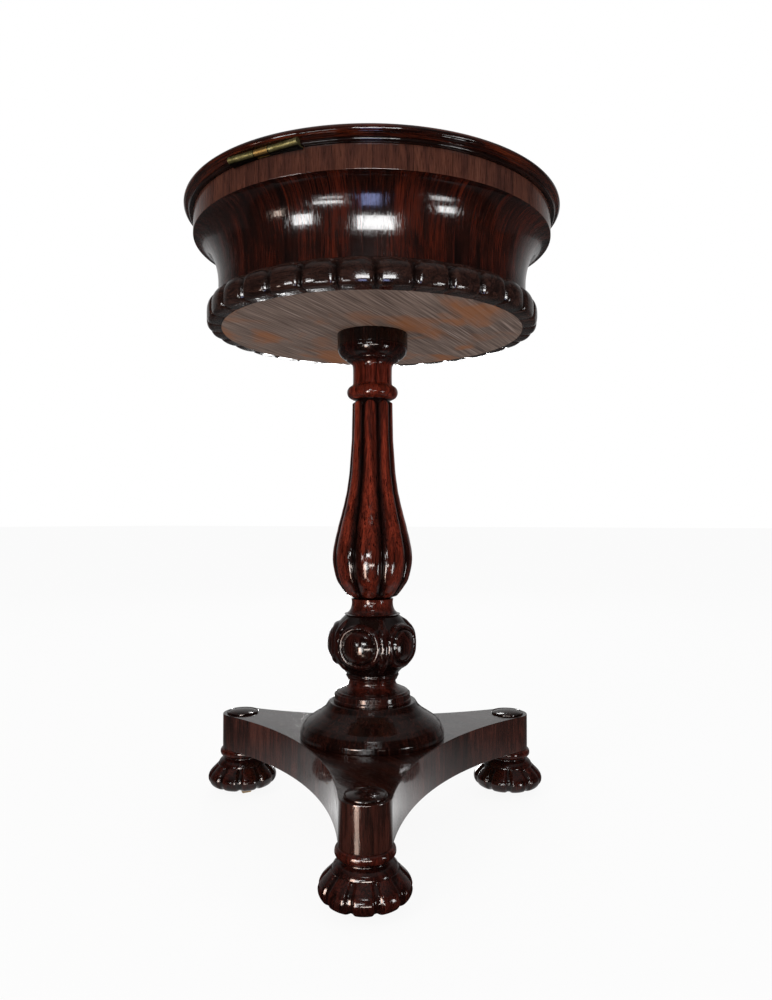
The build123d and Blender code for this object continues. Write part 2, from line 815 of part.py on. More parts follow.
def hinge_leaf(bottom, knuckles, pin_clearance):
    """Leaf with its knuckles rolled round the pin."""
    inner_y = hinge_axis_y - hinge_knuckle_radius - hinge_leaf_width
    width = hinge_leaf_width - hinge_relief
    top = bottom + hinge_leaf_thickness
    leaf = Pos(0, inner_y + width / 2, 0) * block(hinge_length, width, bottom, top)
    for start, end in knuckles:
        neck_width = hinge_axis_y - inner_y - width
        neck = block(end - start, neck_width, bottom, top)
        leaf += Pos((start + end) / 2, inner_y + width + neck_width / 2, 0) * neck
        leaf += hinge_barrel(hinge_knuckle_radius, start, end)
    reach = hinge_length / 2
    return leaf - hinge_barrel(hinge_pin_radius + pin_clearance, -reach, reach)


def hinge_box_leaf():
    """Leaf let into the top of the frieze, with the two outer knuckles."""
    first, _, last = knuckle_spans()
    return hinge_leaf(frieze_top - hinge_leaf_thickness, [first, last], 0)


def hinge_lid_leaf():
    """Leaf let into the underside of the lid, with the middle knuckle."""
    _, middle, _ = knuckle_spans()
    return hinge_leaf(lid_bottom, [middle], running_clearance)


def hinge_pin():
    """Pin held in the outer knuckles, on which the middle knuckle turns."""
    return hinge_barrel(hinge_pin_radius, -hinge_length / 2, hinge_length / 2)


# ---------------------------------------------------------------- lock
def staple_places(shape):
    """The shape at both staples of the lock."""
    return [Pos(side * lock_staple_spacing / 2, lock_y, 0) * shape for side in (-1, 1)]


def lock_case():
    """Box lock let into the frieze: a hollow case under a slotted selvedge plate."""
    bottom = selvedge_bottom - lock_case_height
    case = block(lock_case_length, lock_case_width, bottom, selvedge_bottom)
    case -= block(
        lock_case_length - 2 * lock_case_wall, lock_case_width - 2 * lock_case_wall,
        bottom + lock_case_wall, selvedge_bottom,
    )
    case += block(lock_selvedge_length, lock_selvedge_width, selvedge_bottom, frieze_top)
    case = Pos(0, lock_y, 0) * case
    slot = block(
        lock_staple_thickness + 2 * lock_clearance, lock_staple_width + 2 * lock_clearance,
        selvedge_bottom, frieze_top,
    )
    return case - staple_places(slot) - front_cut(escutcheon_outline(0), -frieze_radius, lock_y)


def link_plate():
    """Plate under the lid with two pierced staples that drop into the lock."""
    plate = Pos(0, lock_y, 0) * block(
        link_plate_length, lock_selvedge_width, lid_bottom, lid_bottom + link_plate_thickness
    )
    staple = block(lock_staple_thickness, lock_staple_width, staple_tip, lid_bottom)
    hole_bottom = staple_hole_height - lock_staple_hole / 2
    hole = block(lock_staple_thickness, lock_staple_hole, hole_bottom, hole_bottom + lock_staple_hole)
    return plate + staple_places(staple) - staple_places(hole)


def lock_bolt():
    """Sliding bar with two fingers that pass through the staples when it is thrown towards +X."""
    floor = selvedge_bottom - lock_case_height + lock_case_wall + lock_bolt_lift
    finger = lock_staple_hole - 2 * lock_clearance
    finger_length = lock_staple_thickness + lock_bolt_throw / 2
    half_spacing = lock_staple_spacing / 2
    finger_end = half_spacing - lock_staple_thickness / 2 - lock_clearance
    arm = lock_staple_width
    bar_length = lock_staple_spacing + arm
    bar_middle = finger_end - finger_length - arm / 2 - half_spacing
    bolt = Pos(bar_middle, 0, 0) * block(bar_length, arm, floor, floor + lock_bolt_bar_height)
    for side in (-1, 1):
        tip = finger_end + (side - 1) * half_spacing
        arm_middle = tip - finger_length - arm / 2
        bolt += Pos(arm_middle, 0, 0) * block(arm, arm, floor, staple_hole_height + finger / 2)
        bolt += Pos(tip - finger_length / 2, 0, 0) * block(
            finger_length, finger, staple_hole_height - finger / 2, staple_hole_height + finger / 2
        )
    return Pos(0, lock_y, 0) * bolt


def escutcheon():
    """Brass keyhole lining, flush with the frieze."""
    face = escutcheon_outline(escutcheon_border) - escutcheon_outline(0)
    return front_cut(face, escutcheon_sink - frieze_radius, escutcheon_thickness - frieze_radius)


# ---------------------------------------------------------------- write every piece
pieces = {
    "base_platform": base_platform(),
    "base_caps": at_each_foot(base_cap()),
    "plinth_disc": plinth_disc(),
    "column": column(),
    "column_wedge": column_wedge(),
    "top_collar": top_collar(),
    "collar_screws": collar_screws(),
    "bottom_board": bottom_board(),
    "gadroon_ring": gadroon_ring(),
    "cove_wall": cove_wall(),
    "frieze_band": frieze_band(),
    "deck": deck(),
    "lid_panel": lid_panel(),
    "lid_rim": lid_rim(),
    "lid_bead": lid_bead(),
    "lid_lining": lid_lining(),
    "hinge_box_leaf": hinge_box_leaf(),
    "hinge_lid_leaf": hinge_lid_leaf(),
    "hinge_pin": hinge_pin(),
    "lock_case": lock_case(),
    "lock_bolt": lock_bolt(),
    "link_plate": link_plate(),
    "escutcheon": escutcheon(),
    "partition_right": partition(),
    "partition_left": Rot(0, 0, 180) * partition(),
}
for number, place in enumerate(at_each_foot(foot()), 1):
    pieces[f"foot_{number}"] = place
for number, place in enumerate(at_each_foot(castor_plate()), 1):
    pieces[f"castor_plate_{number}"] = place
for number, (angle, heading) in enumerate(zip(foot_angles, castor_headings), 1):
    stand = Pos(*ring_point(foot_circle_radius, angle), 0) * Rot(0, 0, heading)
    pieces[f"castor_fork_{number}"] = stand * castor_fork()
    pieces[f"castor_axle_{number}"] = stand * castor_axle()
    pieces[f"castor_wheel_{number}"] = stand * castor_wheel()
canister_set = {"canister": canister_body(), "canister_lid": canister_lid(), "canister_knob": canister_knob()}
for name, shape in canister_set.items():
    pieces[f"{name}_right"], pieces[f"{name}_left"] = canister_places(shape)
bowl_set = {"bowl_ring": bowl_ring(), "glass_bowl": glass_bowl()}
for name, shape in bowl_set.items():
    pieces[f"{name}_back"], pieces[f"{name}_front"] = bowl_places(shape)

for name, piece in pieces.items():
    if isinstance(piece, list):
        piece = Compound(children=[solid for copy in piece for solid in copy.solids()])
    export_step(piece, f"parts/{name}.step")
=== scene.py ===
# %% [markdown]
# # A rosewood teapoy in Blender
# A teapoy is a tea chest on a pillar: a round box with canisters and mixing bowls inside, a carved
# column, and a three-cornered platform on lotus feet that hide castors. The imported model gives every
# solid piece and its place. This lesson rebuilds the pieces that the eye rests on as smooth surfaces,
# and gives all of them the finish of the real material.

import math

import bpy
import numpy as np
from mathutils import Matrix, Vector


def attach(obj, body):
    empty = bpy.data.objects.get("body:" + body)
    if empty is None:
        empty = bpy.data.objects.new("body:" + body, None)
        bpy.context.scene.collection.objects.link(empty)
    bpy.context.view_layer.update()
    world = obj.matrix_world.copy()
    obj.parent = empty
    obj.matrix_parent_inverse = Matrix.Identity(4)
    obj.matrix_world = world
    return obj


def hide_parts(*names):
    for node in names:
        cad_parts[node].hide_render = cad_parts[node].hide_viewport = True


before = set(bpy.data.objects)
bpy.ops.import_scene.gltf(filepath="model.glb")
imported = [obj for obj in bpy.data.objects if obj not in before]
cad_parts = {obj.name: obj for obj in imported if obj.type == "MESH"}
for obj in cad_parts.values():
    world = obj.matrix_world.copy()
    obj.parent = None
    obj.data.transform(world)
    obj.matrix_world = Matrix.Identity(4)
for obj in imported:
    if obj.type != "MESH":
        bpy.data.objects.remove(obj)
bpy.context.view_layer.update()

# %% [markdown]
# ## The grid that every new piece is made from
# A turned or carved piece is a profile swept round an axis, so its surface has two parameters: the
# row along the profile and the column round the axis. A whole grid of points is worked out at once
# with numpy, in millimetres, and one function turns any such grid into a closed mesh. It also writes a
# UV map named grain, in metres along and across the wood's fibres, and the carver's depth as an
# attribute, so that a material can darken the bottoms of the grooves as painted shade, and a share of
# lighter colour for worn polish and painted sheen.

# %% From a grid of points to a mesh
MM = 0.001
crease_angle = math.radians(38)


def surface(name, grid, grain=None, loop=False, groove=None, rubbed=None):
    """Mesh object from rows x columns of points in mm. Columns close round; rows close too where
    loop is true, and otherwise the first and last rows get flat caps. Each face joins (i, j),
    (i, j+1), (i+1, j+1) and (i+1, j), which faces outwards where rows go up and columns go round
    anticlockwise."""
    rows, columns = grid.shape[:2]
    row = np.arange(rows if loop else rows - 1)[:, None]
    column = np.arange(columns)[None, :]
    next_row, next_column = (row + 1) % rows, (column + 1) % columns
    corners = [
        row * columns + column, row * columns + next_column,
        next_row * columns + next_column, next_row * columns + column,
    ]
    faces = np.stack(corners, axis=-1).reshape(-1, 4).tolist()
    side_count = len(faces)
    if not loop:
        faces += [list(range(columns))[::-1], list(range((rows - 1) * columns, rows * columns))]
    mesh = bpy.data.meshes.new(name)
    mesh.from_pydata((grid.reshape(-1, 3) * MM).tolist(), [], faces)
    mesh.polygons.foreach_set("use_smooth", np.arange(len(faces)) < side_count)
    if grain is not None:
        u, v = grain
        spots = [(row, column), (row, column + 1), (row + 1, column + 1), (row + 1, column)]
        pairs = [np.stack([u[a, b], v[a, b]], axis=-1) for a, b in spots]
        ends = [] if loop else [grid[0, ::-1, :2] * MM, grid[-1, :, :2] * MM]
        layer = np.concatenate([np.stack(pairs, axis=-2).reshape(-1, 2)] + ends)
        mesh.uv_layers.new(name="grain").data.foreach_set("uv", layer.ravel().astype(np.float32))
    # The first attribute is darkened by the carved finish as painted shade; the second adds lighter
    # colour, partly worn polish and partly painted sheen.
    for label, values in (("groove", groove), ("rubbed", rubbed)):
        if values is not None:
            spread = np.broadcast_to(values, (rows, columns)).ravel().astype(np.float32)
            mesh.attributes.new(label, "FLOAT", "POINT").data.foreach_set("value", spread)
    mesh.set_sharp_from_angle(angle=crease_angle)
    piece = bpy.data.objects.new(name, mesh)
    bpy.context.scene.collection.objects.link(piece)
    print(name, len(mesh.vertices), "points")
    return piece


# %% Profiles and how they are turned
def turns(columns):
    """Angles of the columns, a whole turn in equal steps."""
    return np.arange(columns) * 2 * np.pi / columns


def polar(radius, angle, height):
    """Point = (r cos t, r sin t, z)."""
    flat = 0 * angle
    return np.stack([radius * np.cos(angle), radius * np.sin(angle), height + flat], axis=-1)


def turned(profile, columns, radius_change=0.0):
    """The profile's r and z swept round the axis, with a change of radius where the piece is cut."""
    line = np.asarray(profile, float)
    return polar(line[:, :1] + radius_change, turns(columns)[None], line[:, 1:])


def softened(corners, size, steps=4, closed=False):
    """Polyline whose corners are rounded: from a point A on one side of corner C to a point B on the
    other, each at most size away, it follows (1-t)^2 A + 2t(1-t) C + t^2 B. One more point just outside
    each end keeps the flat sides flat where the shading is smooth. A closed outline starts and ends
    within one side."""
    points = np.asarray(corners, float)
    if closed:
        joint = (points[-1:] + points[:1]) / 2
        points = np.concatenate([joint, points, joint])
    middle = points[1:-1]

    def toward(side, reach, most):
        """The point on a corner's side at a given reach, but at most that share of the side away."""
        length = np.linalg.norm(side - middle, axis=1, keepdims=True)
        return (middle + (side - middle) * np.minimum(reach / length, most))[:, None]

    before, after = points[:-2], points[2:]
    start, end = toward(before, size, 0.42), toward(after, size, 0.42)
    t = np.linspace(0, 1, steps)[None, :, None]
    curve = (1 - t) ** 2 * start + 2 * t * (1 - t) * middle[:, None] + t**2 * end
    ends = [toward(side, 1.25 * size, 0.48) for side in (before, after)]
    curve = np.concatenate([ends[0], curve, ends[1]], axis=1).reshape(-1, 2)
    return np.concatenate([points[:1], curve] + ([] if closed else [points[-1:]]))


def through(places, values, at):
    """Smooth curve through given values: between two places a cubic (2s^3-3s^2+1) a + (s^3-2s^2+s) h m
    + (3s^2-2s^3) b + (s^3-s^2) h n, whose slopes m and n never overshoot the points."""
    x, y, at = (np.asarray(each, float) for each in (places, values, at))
    step = np.diff(x)
    rise = np.diff(y) / step
    before, after = rise[:-1], rise[1:]
    both = np.where(before + after == 0, 1, before + after)
    inner = np.where(before * after > 0, 2 * before * after / both, 0)
    slope = np.concatenate([rise[:1], inner, rise[-1:]])
    cell = np.clip(np.searchsorted(x, at) - 1, 0, len(step) - 1)
    s = np.clip((at - x[cell]) / step[cell], 0, 1)
    low, high, m, n, h = y[cell], y[cell + 1], slope[cell], slope[cell + 1], step[cell]
    return (
        (2 * s**3 - 3 * s**2 + 1) * low + (s**3 - 2 * s**2 + s) * h * m
        + (3 * s**2 - 2 * s**3) * high + (s**3 - s**2) * h * n
    )


def traced(profile, at):
    """The smooth curve through a profile's points, which are numbered from 0, at the given numbers."""
    numbers = np.arange(len(profile))
    return np.stack([through(numbers, values, at) for values in np.transpose(profile)], axis=-1)


def eased(value, start, end):
    """Smooth step: 0 before start, 1 after end, and 3t^2 - 2t^3 between them."""
    t = np.clip((value - start) / (end - start), 0, 1)
    return t * t * (3 - 2 * t)


def across_lobe(angle, count, turn):
    """Place across the nearest of count equal lobes, from -1 to 1; one lobe starts at turn degrees."""
    pitch = 2 * np.pi / count
    return ((angle - math.radians(turn)) % pitch) / (pitch / 2) - 1


def grain_up(grid, nominal_radius):
    """Grain map of a turned piece with upright fibres: u is the way along the profile, v the arc."""
    rows, columns = grid.shape[:2]
    step = np.linalg.norm(np.diff(np.concatenate([grid, grid[:1]])[:, 0], axis=0), axis=1)
    way = np.concatenate([[0], np.cumsum(step)])[:, None] * MM
    arc = np.arange(columns + 1)[None] * 2 * np.pi / columns * nominal_radius * MM
    return way + 0 * arc, arc + 0 * way


def grain_round(grid, nominal_radius):
    """Grain map of a moulding with fibres that run round it: u is the arc, v the way up the profile."""
    way, arc = grain_up(grid, nominal_radius)
    return arc, way


# %% [markdown]
# ## Joining a piece to the model
# A new piece stands for one or more nodes of the imported model, which it hides, moves with a body,
# and takes the finishes that it is given. Cuts for the hinge and the lock are made as a joiner
# would make them, by taking a simple block away from the finished moulding.

# %% Dress and cut a piece
def dress(piece, body, slot, nodes, *materials):
    """Gives a piece its materials and its body, and hides the nodes that it stands for. slot is not
    used.
    """
    for material in materials:
        piece.data.materials.append(material)
    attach(piece, body)
    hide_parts(*nodes)


def prism(outline, low, high, axes="xyz"):
    """Grid of a straight prism: the outline's two values go to the first two axes, low and high to
    the third."""
    ends = np.array([low, high], float)[:, None]
    along = [outline[:, 0] + 0 * ends, outline[:, 1] + 0 * ends, ends + 0 * outline[:, 0]]
    return np.stack([along[axes.index(axis)] for axis in "xyz"], axis=-1)


def rectangle(x_low, x_high, y_low, y_high):
    """Corners of a rectangle, anticlockwise."""
    return np.array([(x_low, y_low), (x_high, y_low), (x_high, y_high), (x_low, y_high)], float)


def circle(x, y, radius):
    """Points round a circle, anticlockwise."""
    return polar(radius, turns(48), 0)[:, :2] + np.array([x, y])


def cut(piece, *cutter_grids):
    """Takes the space of each prism out of the piece, for good."""
    for grid in cutter_grids:
        cutter = surface("cutter", grid)
        trim = piece.modifiers.new("cut", "BOOLEAN")
        trim.operation, trim.solver, trim.object = "DIFFERENCE", "EXACT", cutter
        graph = bpy.context.evaluated_depsgraph_get()
        graph.update()
        shaped = bpy.data.meshes.new_from_object(
            piece.evaluated_get(graph), preserve_all_data_layers=True, depsgraph=graph
        )
        piece.modifiers.clear()
        piece.data = shaped
        bpy.data.objects.remove(cutter)
    piece.data.set_sharp_from_angle(angle=crease_angle)
    print(piece.name, "cut to", len(piece.data.polygons), "faces")


# %% [markdown]
# ## Colour and nodes
# Every colour is written as the sRGB hex value that the eye would match, and one function turns it
# into the linear values that Blender mixes. One small function adds a node with its settings and its
# inputs, and a few more name what is done most often, so a material reads as a list of what is laid
# over what. A row of hex colours with spaces between them makes the stops of a colour ramp.

# %% Colour and node helpers
def linear(code):
    """sRGB hex to linear RGBA: c/12.92 below 0.04045, else ((c + 0.055)/1.055)^2.4."""
    share = np.array([int(code[k:k + 2], 16) for k in (1, 3, 5)]) / 255
    return (*np.where(share <= 0.04045, share / 12.92, ((share + 0.055) / 1.055) ** 2.4).tolist(), 1.0)


def feed(tree, node, inputs):
    """Fills inputs of a node, each with a value, a hex colour or another node's output."""
    for name, value in inputs.items():
        if isinstance(value, bpy.types.NodeSocket):
            tree.links.new(value, node.inputs[name])
        else:
            node.inputs[name].default_value = linear(value) if isinstance(value, str) else value


def add_node(tree, kind, inputs=None, output=0, ramp=None, **settings):
    """Adds one node, sets it, gives its colour ramp (place, colour) stops, feeds it, and returns one
    of its outputs."""
    node = tree.nodes.new(f"ShaderNode{kind}")
    for name, value in settings.items():
        setattr(node, name, value)
    for place, colour in (ramp or [])[2:]:
        node.color_ramp.elements.new(place)
    for element, (place, colour) in zip(node.color_ramp.elements if ramp else [], ramp or []):
        element.position, element.color = place, linear(colour)
    feed(tree, node, inputs or {})
    return node.outputs[output]


def new_material(name):
    """Empty material: its node tree and its Principled shader."""
    material = bpy.data.materials.new(name)
    material.use_nodes = True
    return material, material.node_tree, material.node_tree.nodes["Principled BSDF"]


def worked_out(tree, operation, *values):
    """One step of arithmetic on numbers or outputs."""
    return add_node(tree, "Math", dict(enumerate(values)), operation=operation)


def graded(tree, value, low, high, start=0.0, end=1.0):
    """A straight line from start, where the value is low, to end, where it is high."""
    return add_node(tree, "MapRange", {0: value, 1: low, 2: high, 3: start, 4: end})


def ramped(tree, value, stops, low=0.3, high=0.7):
    """Colour at a value, from (place, colour) stops or from a row of colours set from low to high."""
    if isinstance(stops, str):
        colours = stops.split()
        stops = list(zip(np.linspace(low, high, len(colours)), colours))
    return add_node(tree, "ValToRGB", {0: value}, ramp=stops)


def overlaid(tree, share, under, over, blend="MIX"):
    """A share of one colour laid over another."""
    return add_node(tree, "Mix", {0: share, 6: under, 7: over}, 2, data_type="RGBA", blend_type=blend)


def noise(tree, spot, scale, detail, rough=0.5, bend=0.0):
    """Cloudy noise at a place, with scale features to the metre."""
    settings = {"Vector": spot, "Scale": scale, "Detail": detail, "Roughness": rough, "Distortion": bend}
    return add_node(tree, "TexNoise", settings)


def fibres(tree, spot, length, width, *settings):
    """Noise that is stretched along x, so that its features are length by width in mm."""
    stretch = (1 / (length * MM), 1 / (width * MM), 1 / (width * MM))
    return noise(tree, add_node(tree, "Mapping", {"Vector": spot, "Scale": stretch}), 1.0, *settings)


def object_spot(tree, turn=(0, 0, 0)):
    """The place in Object coordinates, turned so that the fibres lie along x."""
    plain = add_node(tree, "TexCoord", output="Object")
    return add_node(tree, "Mapping", {"Vector": plain, "Rotation": turn}) if any(turn) else plain


def dent(tree, shader, height, strength, depth, socket="Normal"):
    """Bump on the shader; depth in m is how far a full step of the height goes."""
    bump = add_node(tree, "Bump", {"Strength": strength, "Distance": depth, "Height": height})
    feed(tree, shader, {socket: bump})


# %% [markdown]
# ## Rosewood
# Rosewood is a dark, oily tropical wood. Here it is sliced into veneer on the flat work and cut solid
# for the turned and carved work. The eye reads it from four things laid over each other: broad bands
# of brown and near black, thin black veins along the grain, fine open pores, and over them a French
# polish so thin that the pores still break the highlights. The polish has gone brown and soft with
# age. Fibres run along one direction only, so each pattern is noise that is stretched along it.

# %% Rosewood in all its forms
# For each pattern: its length and width in mm, its detail, its roughness and its bend. Real pores are
# 0.2 mm wide, which is finer than a pixel, so they are drawn 0.8 mm wide.
wood_patterns = {
    "band": (80.0, 7.0, 5.0, 0.62, 0.9), "vein": (55.0, 1.5, 3.0, 0.6, 1.4),
    "pore": (13.0, 0.8, 2.0, 0.5, 0.0), "haze": (60.0, 36.0, 3.0, 0.55, 0.4),
}
wood_shade = "#0d0504"
vein_stops = [(0.36, "#4c2c20"), (0.46, "#e2d0c8"), (0.56, "#ffffff"), (0.68, "#c4a498")]
seam_width, seam_dark, leaf_spread = 0.35, 0.8, 0.16
quarter = math.pi / 2


def rosewood(name, colours, follows="grain", turn=(0, 0, 0), gloss=0.3, lacquer=0.9, strip=None,
             pore_depth=0.22, rubbed=None, veins=1.0, clouds=0.0, polish=0.06):
    """Wood whose fibres follow the piece's grain map, or else Object coordinates: x after the turn.
    colours runs from the darkest band to the lightest. strip is the width of a leaf of veneer in mm
    and the place of one joint; veins and clouds are how strongly the dark veins and the broad dark
    stains of old polish show; the rubbed colour is added where the piece's attribute of that name is
    high: partly polish worn off, partly painted sheen on the crowns of carved lobes."""
    material, tree, shader = new_material(name)
    spot = add_node(tree, "UVMap", uv_map="grain") if follows == "grain" else object_spot(tree, turn)
    if strip:
        width, joint = strip
        across = add_node(tree, "SeparateXYZ", {0: spot}, 1)
        place = worked_out(tree, "MULTIPLY_ADD", across, 1 / (width * MM), -joint / width)
        leaf = worked_out(tree, "FLOOR", place)
        tone = add_node(tree, "TexWhiteNoise", {"W": leaf}, noise_dimensions="1D")
        shift = add_node(tree, "CombineXYZ", {2: tone})
        spot = add_node(tree, "VectorMath", {0: spot, 1: shift}, operation="ADD")
        edge = worked_out(tree, "PINGPONG", place, 0.5)
    band, vein, pore, haze = (fibres(tree, spot, *pattern) for pattern in wood_patterns.values())
    if strip:
        band = worked_out(tree, "MULTIPLY_ADD", tone, leaf_spread, band)
        band = worked_out(tree, "ADD", band, -leaf_spread / 2)
    colour = ramped(tree, band, colours)
    # Lighter colour where the piece's wear attribute is high: partly worn polish, partly painted sheen.
    if rubbed:
        uneven = graded(tree, band, 0.36, 0.64, 0.2, 1.15)
        worn_and_sheen = add_node(tree, "Attribute", output="Fac", attribute_name="rubbed")
        colour = overlaid(tree, worked_out(tree, "MULTIPLY", worn_and_sheen, uneven), colour, rubbed, "ADD")
    colour = overlaid(tree, veins, colour, ramped(tree, vein, vein_stops), "MULTIPLY")
    pore = graded(tree, pore, 0.36, 0.46)
    shades = [graded(tree, haze, 0.42, 0.6, 0.0, clouds), graded(tree, pore, 0.0, 1.0, 0.5, 0.0)]
    if strip:
        shades.append(graded(tree, edge, 0.0, seam_width / width, seam_dark, 0.0))
    # Painted shade: a carved finish darkens towards the bottoms of the grooves, where the carver's depth
    # is great.
    if follows == "carved":
        groove = add_node(tree, "Attribute", output="Fac", attribute_name="groove")
        shades.append(graded(tree, groove, 0.25, 1.0, 0.0, 0.85))
    for share in shades:
        colour = overlaid(tree, share, colour, wood_shade)
    height = worked_out(tree, "MULTIPLY_ADD", band, 0.35, pore)
    dent(tree, shader, height, pore_depth, 0.0003)
    dent(tree, shader, height, pore_depth * 0.35, 0.0003, "Coat Normal")
    feed(tree, shader, {
        "Base Color": colour, "Roughness": graded(tree, haze, 0.35, 0.65, gloss - 0.07, gloss + 0.1),
        "Specular IOR Level": 0.02, "IOR": 1.5, "Coat Weight": lacquer, "Coat Roughness": polish,
    })
    print(name, len(tree.nodes), "nodes")
    return material


def veneer(part, colours, strip, **more):
    """Polished rosewood veneer, whose leaves are laid as strip says."""
    return rosewood(f"polished_rosewood_veneer{part}", colours, strip=strip, **more)


cove_rosewood = veneer(
    "", "#180806 #2e120b #44190f #582112", (36.96, 362.3), clouds=0.65, veins=0.85, polish=0.085
)
band_rosewood = veneer("_band", "#3a221c #4a2c24 #573429 #633d30", (36.96, 380.0), veins=0.4)
platform_rosewood = veneer(
    "_platform", "#20100c #341a14 #45231c #543028", (58.0, 10.0), veins=0.5, clouds=0.4
)
flat_rosewood = veneer(
    "_flat", "#100605 #1e0d09 #2c140e #381b14", None, follows="object", turn=(0, 0, math.radians(24))
)
moulding_rosewood = rosewood(
    "polished_rosewood_moulding", "#140604 #280e08 #42180b #622811", pore_depth=0.12
)
# Painted shade: the bead is a darker copy of the moulding's wood, for the shade under the lid's rim.
shaded_bead_rosewood = rosewood(
    "french_polished_bead", "#0d0605 #180b08 #23110d #2e1711", lacquer=0.6, veins=0.6
)
turned_rosewood = rosewood(
    "french_polished_turned_rosewood", "#0b0504 #180a07 #28110c #371a12", follows="object",
    turn=(0, quarter, 0), gloss=0.26, lacquer=0.6,
)
# The carved finish lays a lighter red where the wear attribute is high: partly worn polish, partly
# painted sheen on the lobes' crowns.
carved_rosewood = rosewood(
    "french_polished_carved_rosewood", "#100605 #200d0a #311410 #421e17", follows="carved",
    turn=(0, quarter, 0), gloss=0.26, rubbed="#86321f", lacquer=0.55,
)
# The gadroons' grooves get the same painted shade.
gadroon_rosewood = rosewood(
    "french_polished_gadroon", "#180f0d #261815 #35221d #442e27", follows="carved", gloss=0.26,
    veins=0.6, lacquer=0.8,
)
case_rosewood, tray_rosewood, caddy_rosewood = (
    rosewood(
        f"waxed_rosewood_{use}", "#3c1d12 #5c321f #7a4830 #935d42", follows="object", turn=turn,
        gloss=0.42, lacquer=0.25, veins=0.7,
    )
    for use, turn in (("upright", (0, quarter, 0)), ("tray", (0, 0, 0)), ("caddy", (0, 0, quarter)))
)

# %% [markdown]
# ## The plain wood inside and below
# Where nobody looks, the maker used a plain coniferous board. Its underside was planed by hand, left
# bare, and has gone grey-brown with dust and soot, with warmer patches where it was handled.

# %% Planed deal
# For each pattern: its length and width in mm, its detail, its roughness and its bend.
board_patterns = {
    "plane_mark": (90.0, 1.6, 6.0, 0.5, 0.3), "stain": (95.0, 66.5, 4.0, 0.5, 0.6),
    "fibre": (40.0, 1.1, 3.0, 0.5, 0.0),
}
board_grain_angle = math.radians(92)


def planed_board(name, colours, warm, turn):
    """Bare wood: streaks along the grain, broad stains, and a dry, matt surface."""
    material, tree, shader = new_material(name)
    spot = object_spot(tree, turn)
    mark, stain, fibre = (fibres(tree, spot, *pattern) for pattern in board_patterns.values())
    patch = graded(tree, stain, 0.5, 0.66, 0.0, 0.7)
    dent(tree, shader, fibre, 0.35, 0.0005)
    feed(tree, shader, {
        "Base Color": overlaid(tree, patch, ramped(tree, mark, colours), warm), "Roughness": 0.72,
        "Specular IOR Level": 0.25,
    })
    return material


board_deal = planed_board(
    "planed_deal_underside", "#4c3d37 #6f5c53 #8c766a #a8948a", "#a5622f", (0, 0, -board_grain_angle)
)
carcass_deal = planed_board(
    "planed_deal_carcass", "#5a4636 #7b614a #937557 #a98a68", "#8a5a3a", (0, quarter, 0)
)

# %% [markdown]
# ## Brass, iron, velvet and glass
# The hinge, the lock and the castors are cast and rolled brass that has gone dull olive where nobody
# rubs it. The screws and axles are iron. The lid is lined with cotton velvet, whose upright pile is
# dark where the eye looks into it and pale where it looks along it. The bowls are clear lead glass,
# whose faint waves come from the mould.

# %% Metals, velvet and glass
def metal(name, colours, roughness, tarnish_size):
    """Metal with patches of tarnish: the patch changes both its colour and how far it is blurred."""
    material, tree, shader = new_material(name)
    spot = object_spot(tree)
    patch = noise(tree, spot, 1 / (tarnish_size * MM), 6.0, 0.65)
    dent(tree, shader, noise(tree, spot, 900.0, 2.0), 0.12, 0.0001)
    feed(tree, shader, {
        "Base Color": ramped(tree, patch, colours, 0.34, 0.66), "Metallic": 1.0,
        "Roughness": graded(tree, patch, 0.35, 0.65, roughness + 0.12, roughness),
    })
    return material


aged_brass = metal("aged_brass", "#4a4429 #6a613d #81774f #978c62", 0.42, 7.0)
castor_brass = metal("cast_brass", "#5a4420 #8c6c32 #b08c46 #c5a25c", 0.3, 14.0)
iron = metal("forged_iron", "#1d1a19 #3a3735 #54504d", 0.45, 5.0)


def worn_hinge(name, low, high, shadow_below):
    """The aged brass with a bright middle knuckle, x from low to high in mm, which rubs as the lid
    turns, with black wax in the joints beside it, and a painted shadow, black, under the given
    height in mm, where the barrel shades the leaf."""
    material = aged_brass.copy()
    material.name = name
    tree = material.node_tree
    shader = tree.nodes["Principled BSDF"]
    plain = shader.inputs["Base Color"].links[0].from_socket
    spot = object_spot(tree)
    along, height = (add_node(tree, "SeparateXYZ", {0: spot}, axis) for axis in (0, 2))
    off = worked_out(tree, "ADD", along, -(low + high) / 2 * MM)
    off = worked_out(tree, "ABSOLUTE", off)
    half = (high - low) / 2 * MM
    colour = overlaid(tree, graded(tree, off, half - MM, half, 0.6, 0.0), plain, "#a0763f")
    joint = worked_out(tree, "COMPARE", off, half, 0.45 * MM)
    # Painted shadow: black on the leaf under the barrel.
    under = graded(tree, height, (shadow_below - 0.5) * MM, shadow_below * MM, 1.0, 0.0)
    wax_and_shadow = worked_out(tree, "MAXIMUM", joint, under)
    feed(tree, shader, {"Base Color": overlaid(tree, wax_and_shadow, colour, "#0c0906")})
    return material


hinge_brass = worn_hinge("aged_brass_hinge", -7.8, 10.4, 745.9)

crimson_velvet, tree, shader = new_material("cotton_velvet")
spot = object_spot(tree)
dent(tree, shader, noise(tree, spot, 1400.0, 2.0), 0.5, 0.0004)
brushed = ramped(tree, noise(tree, spot, 14.0, 3.0), "#5a151b #6e1d24", 0.35, 0.65)
feed(tree, shader, {
    "Base Color": brushed, "Roughness": 0.95, "Sheen Weight": 0.8, "Sheen Roughness": 0.35,
    "Sheen Tint": "#b05a50",
})

lead_glass, tree, shader = new_material("cut_lead_glass")
dent(tree, shader, noise(tree, object_spot(tree), 60.0, 1.0), 0.1, 0.0003)
feed(tree, shader, {
    "Base Color": "#f4f8f6", "Transmission Weight": 1.0, "Roughness": 0.02, "IOR": 1.54,
})

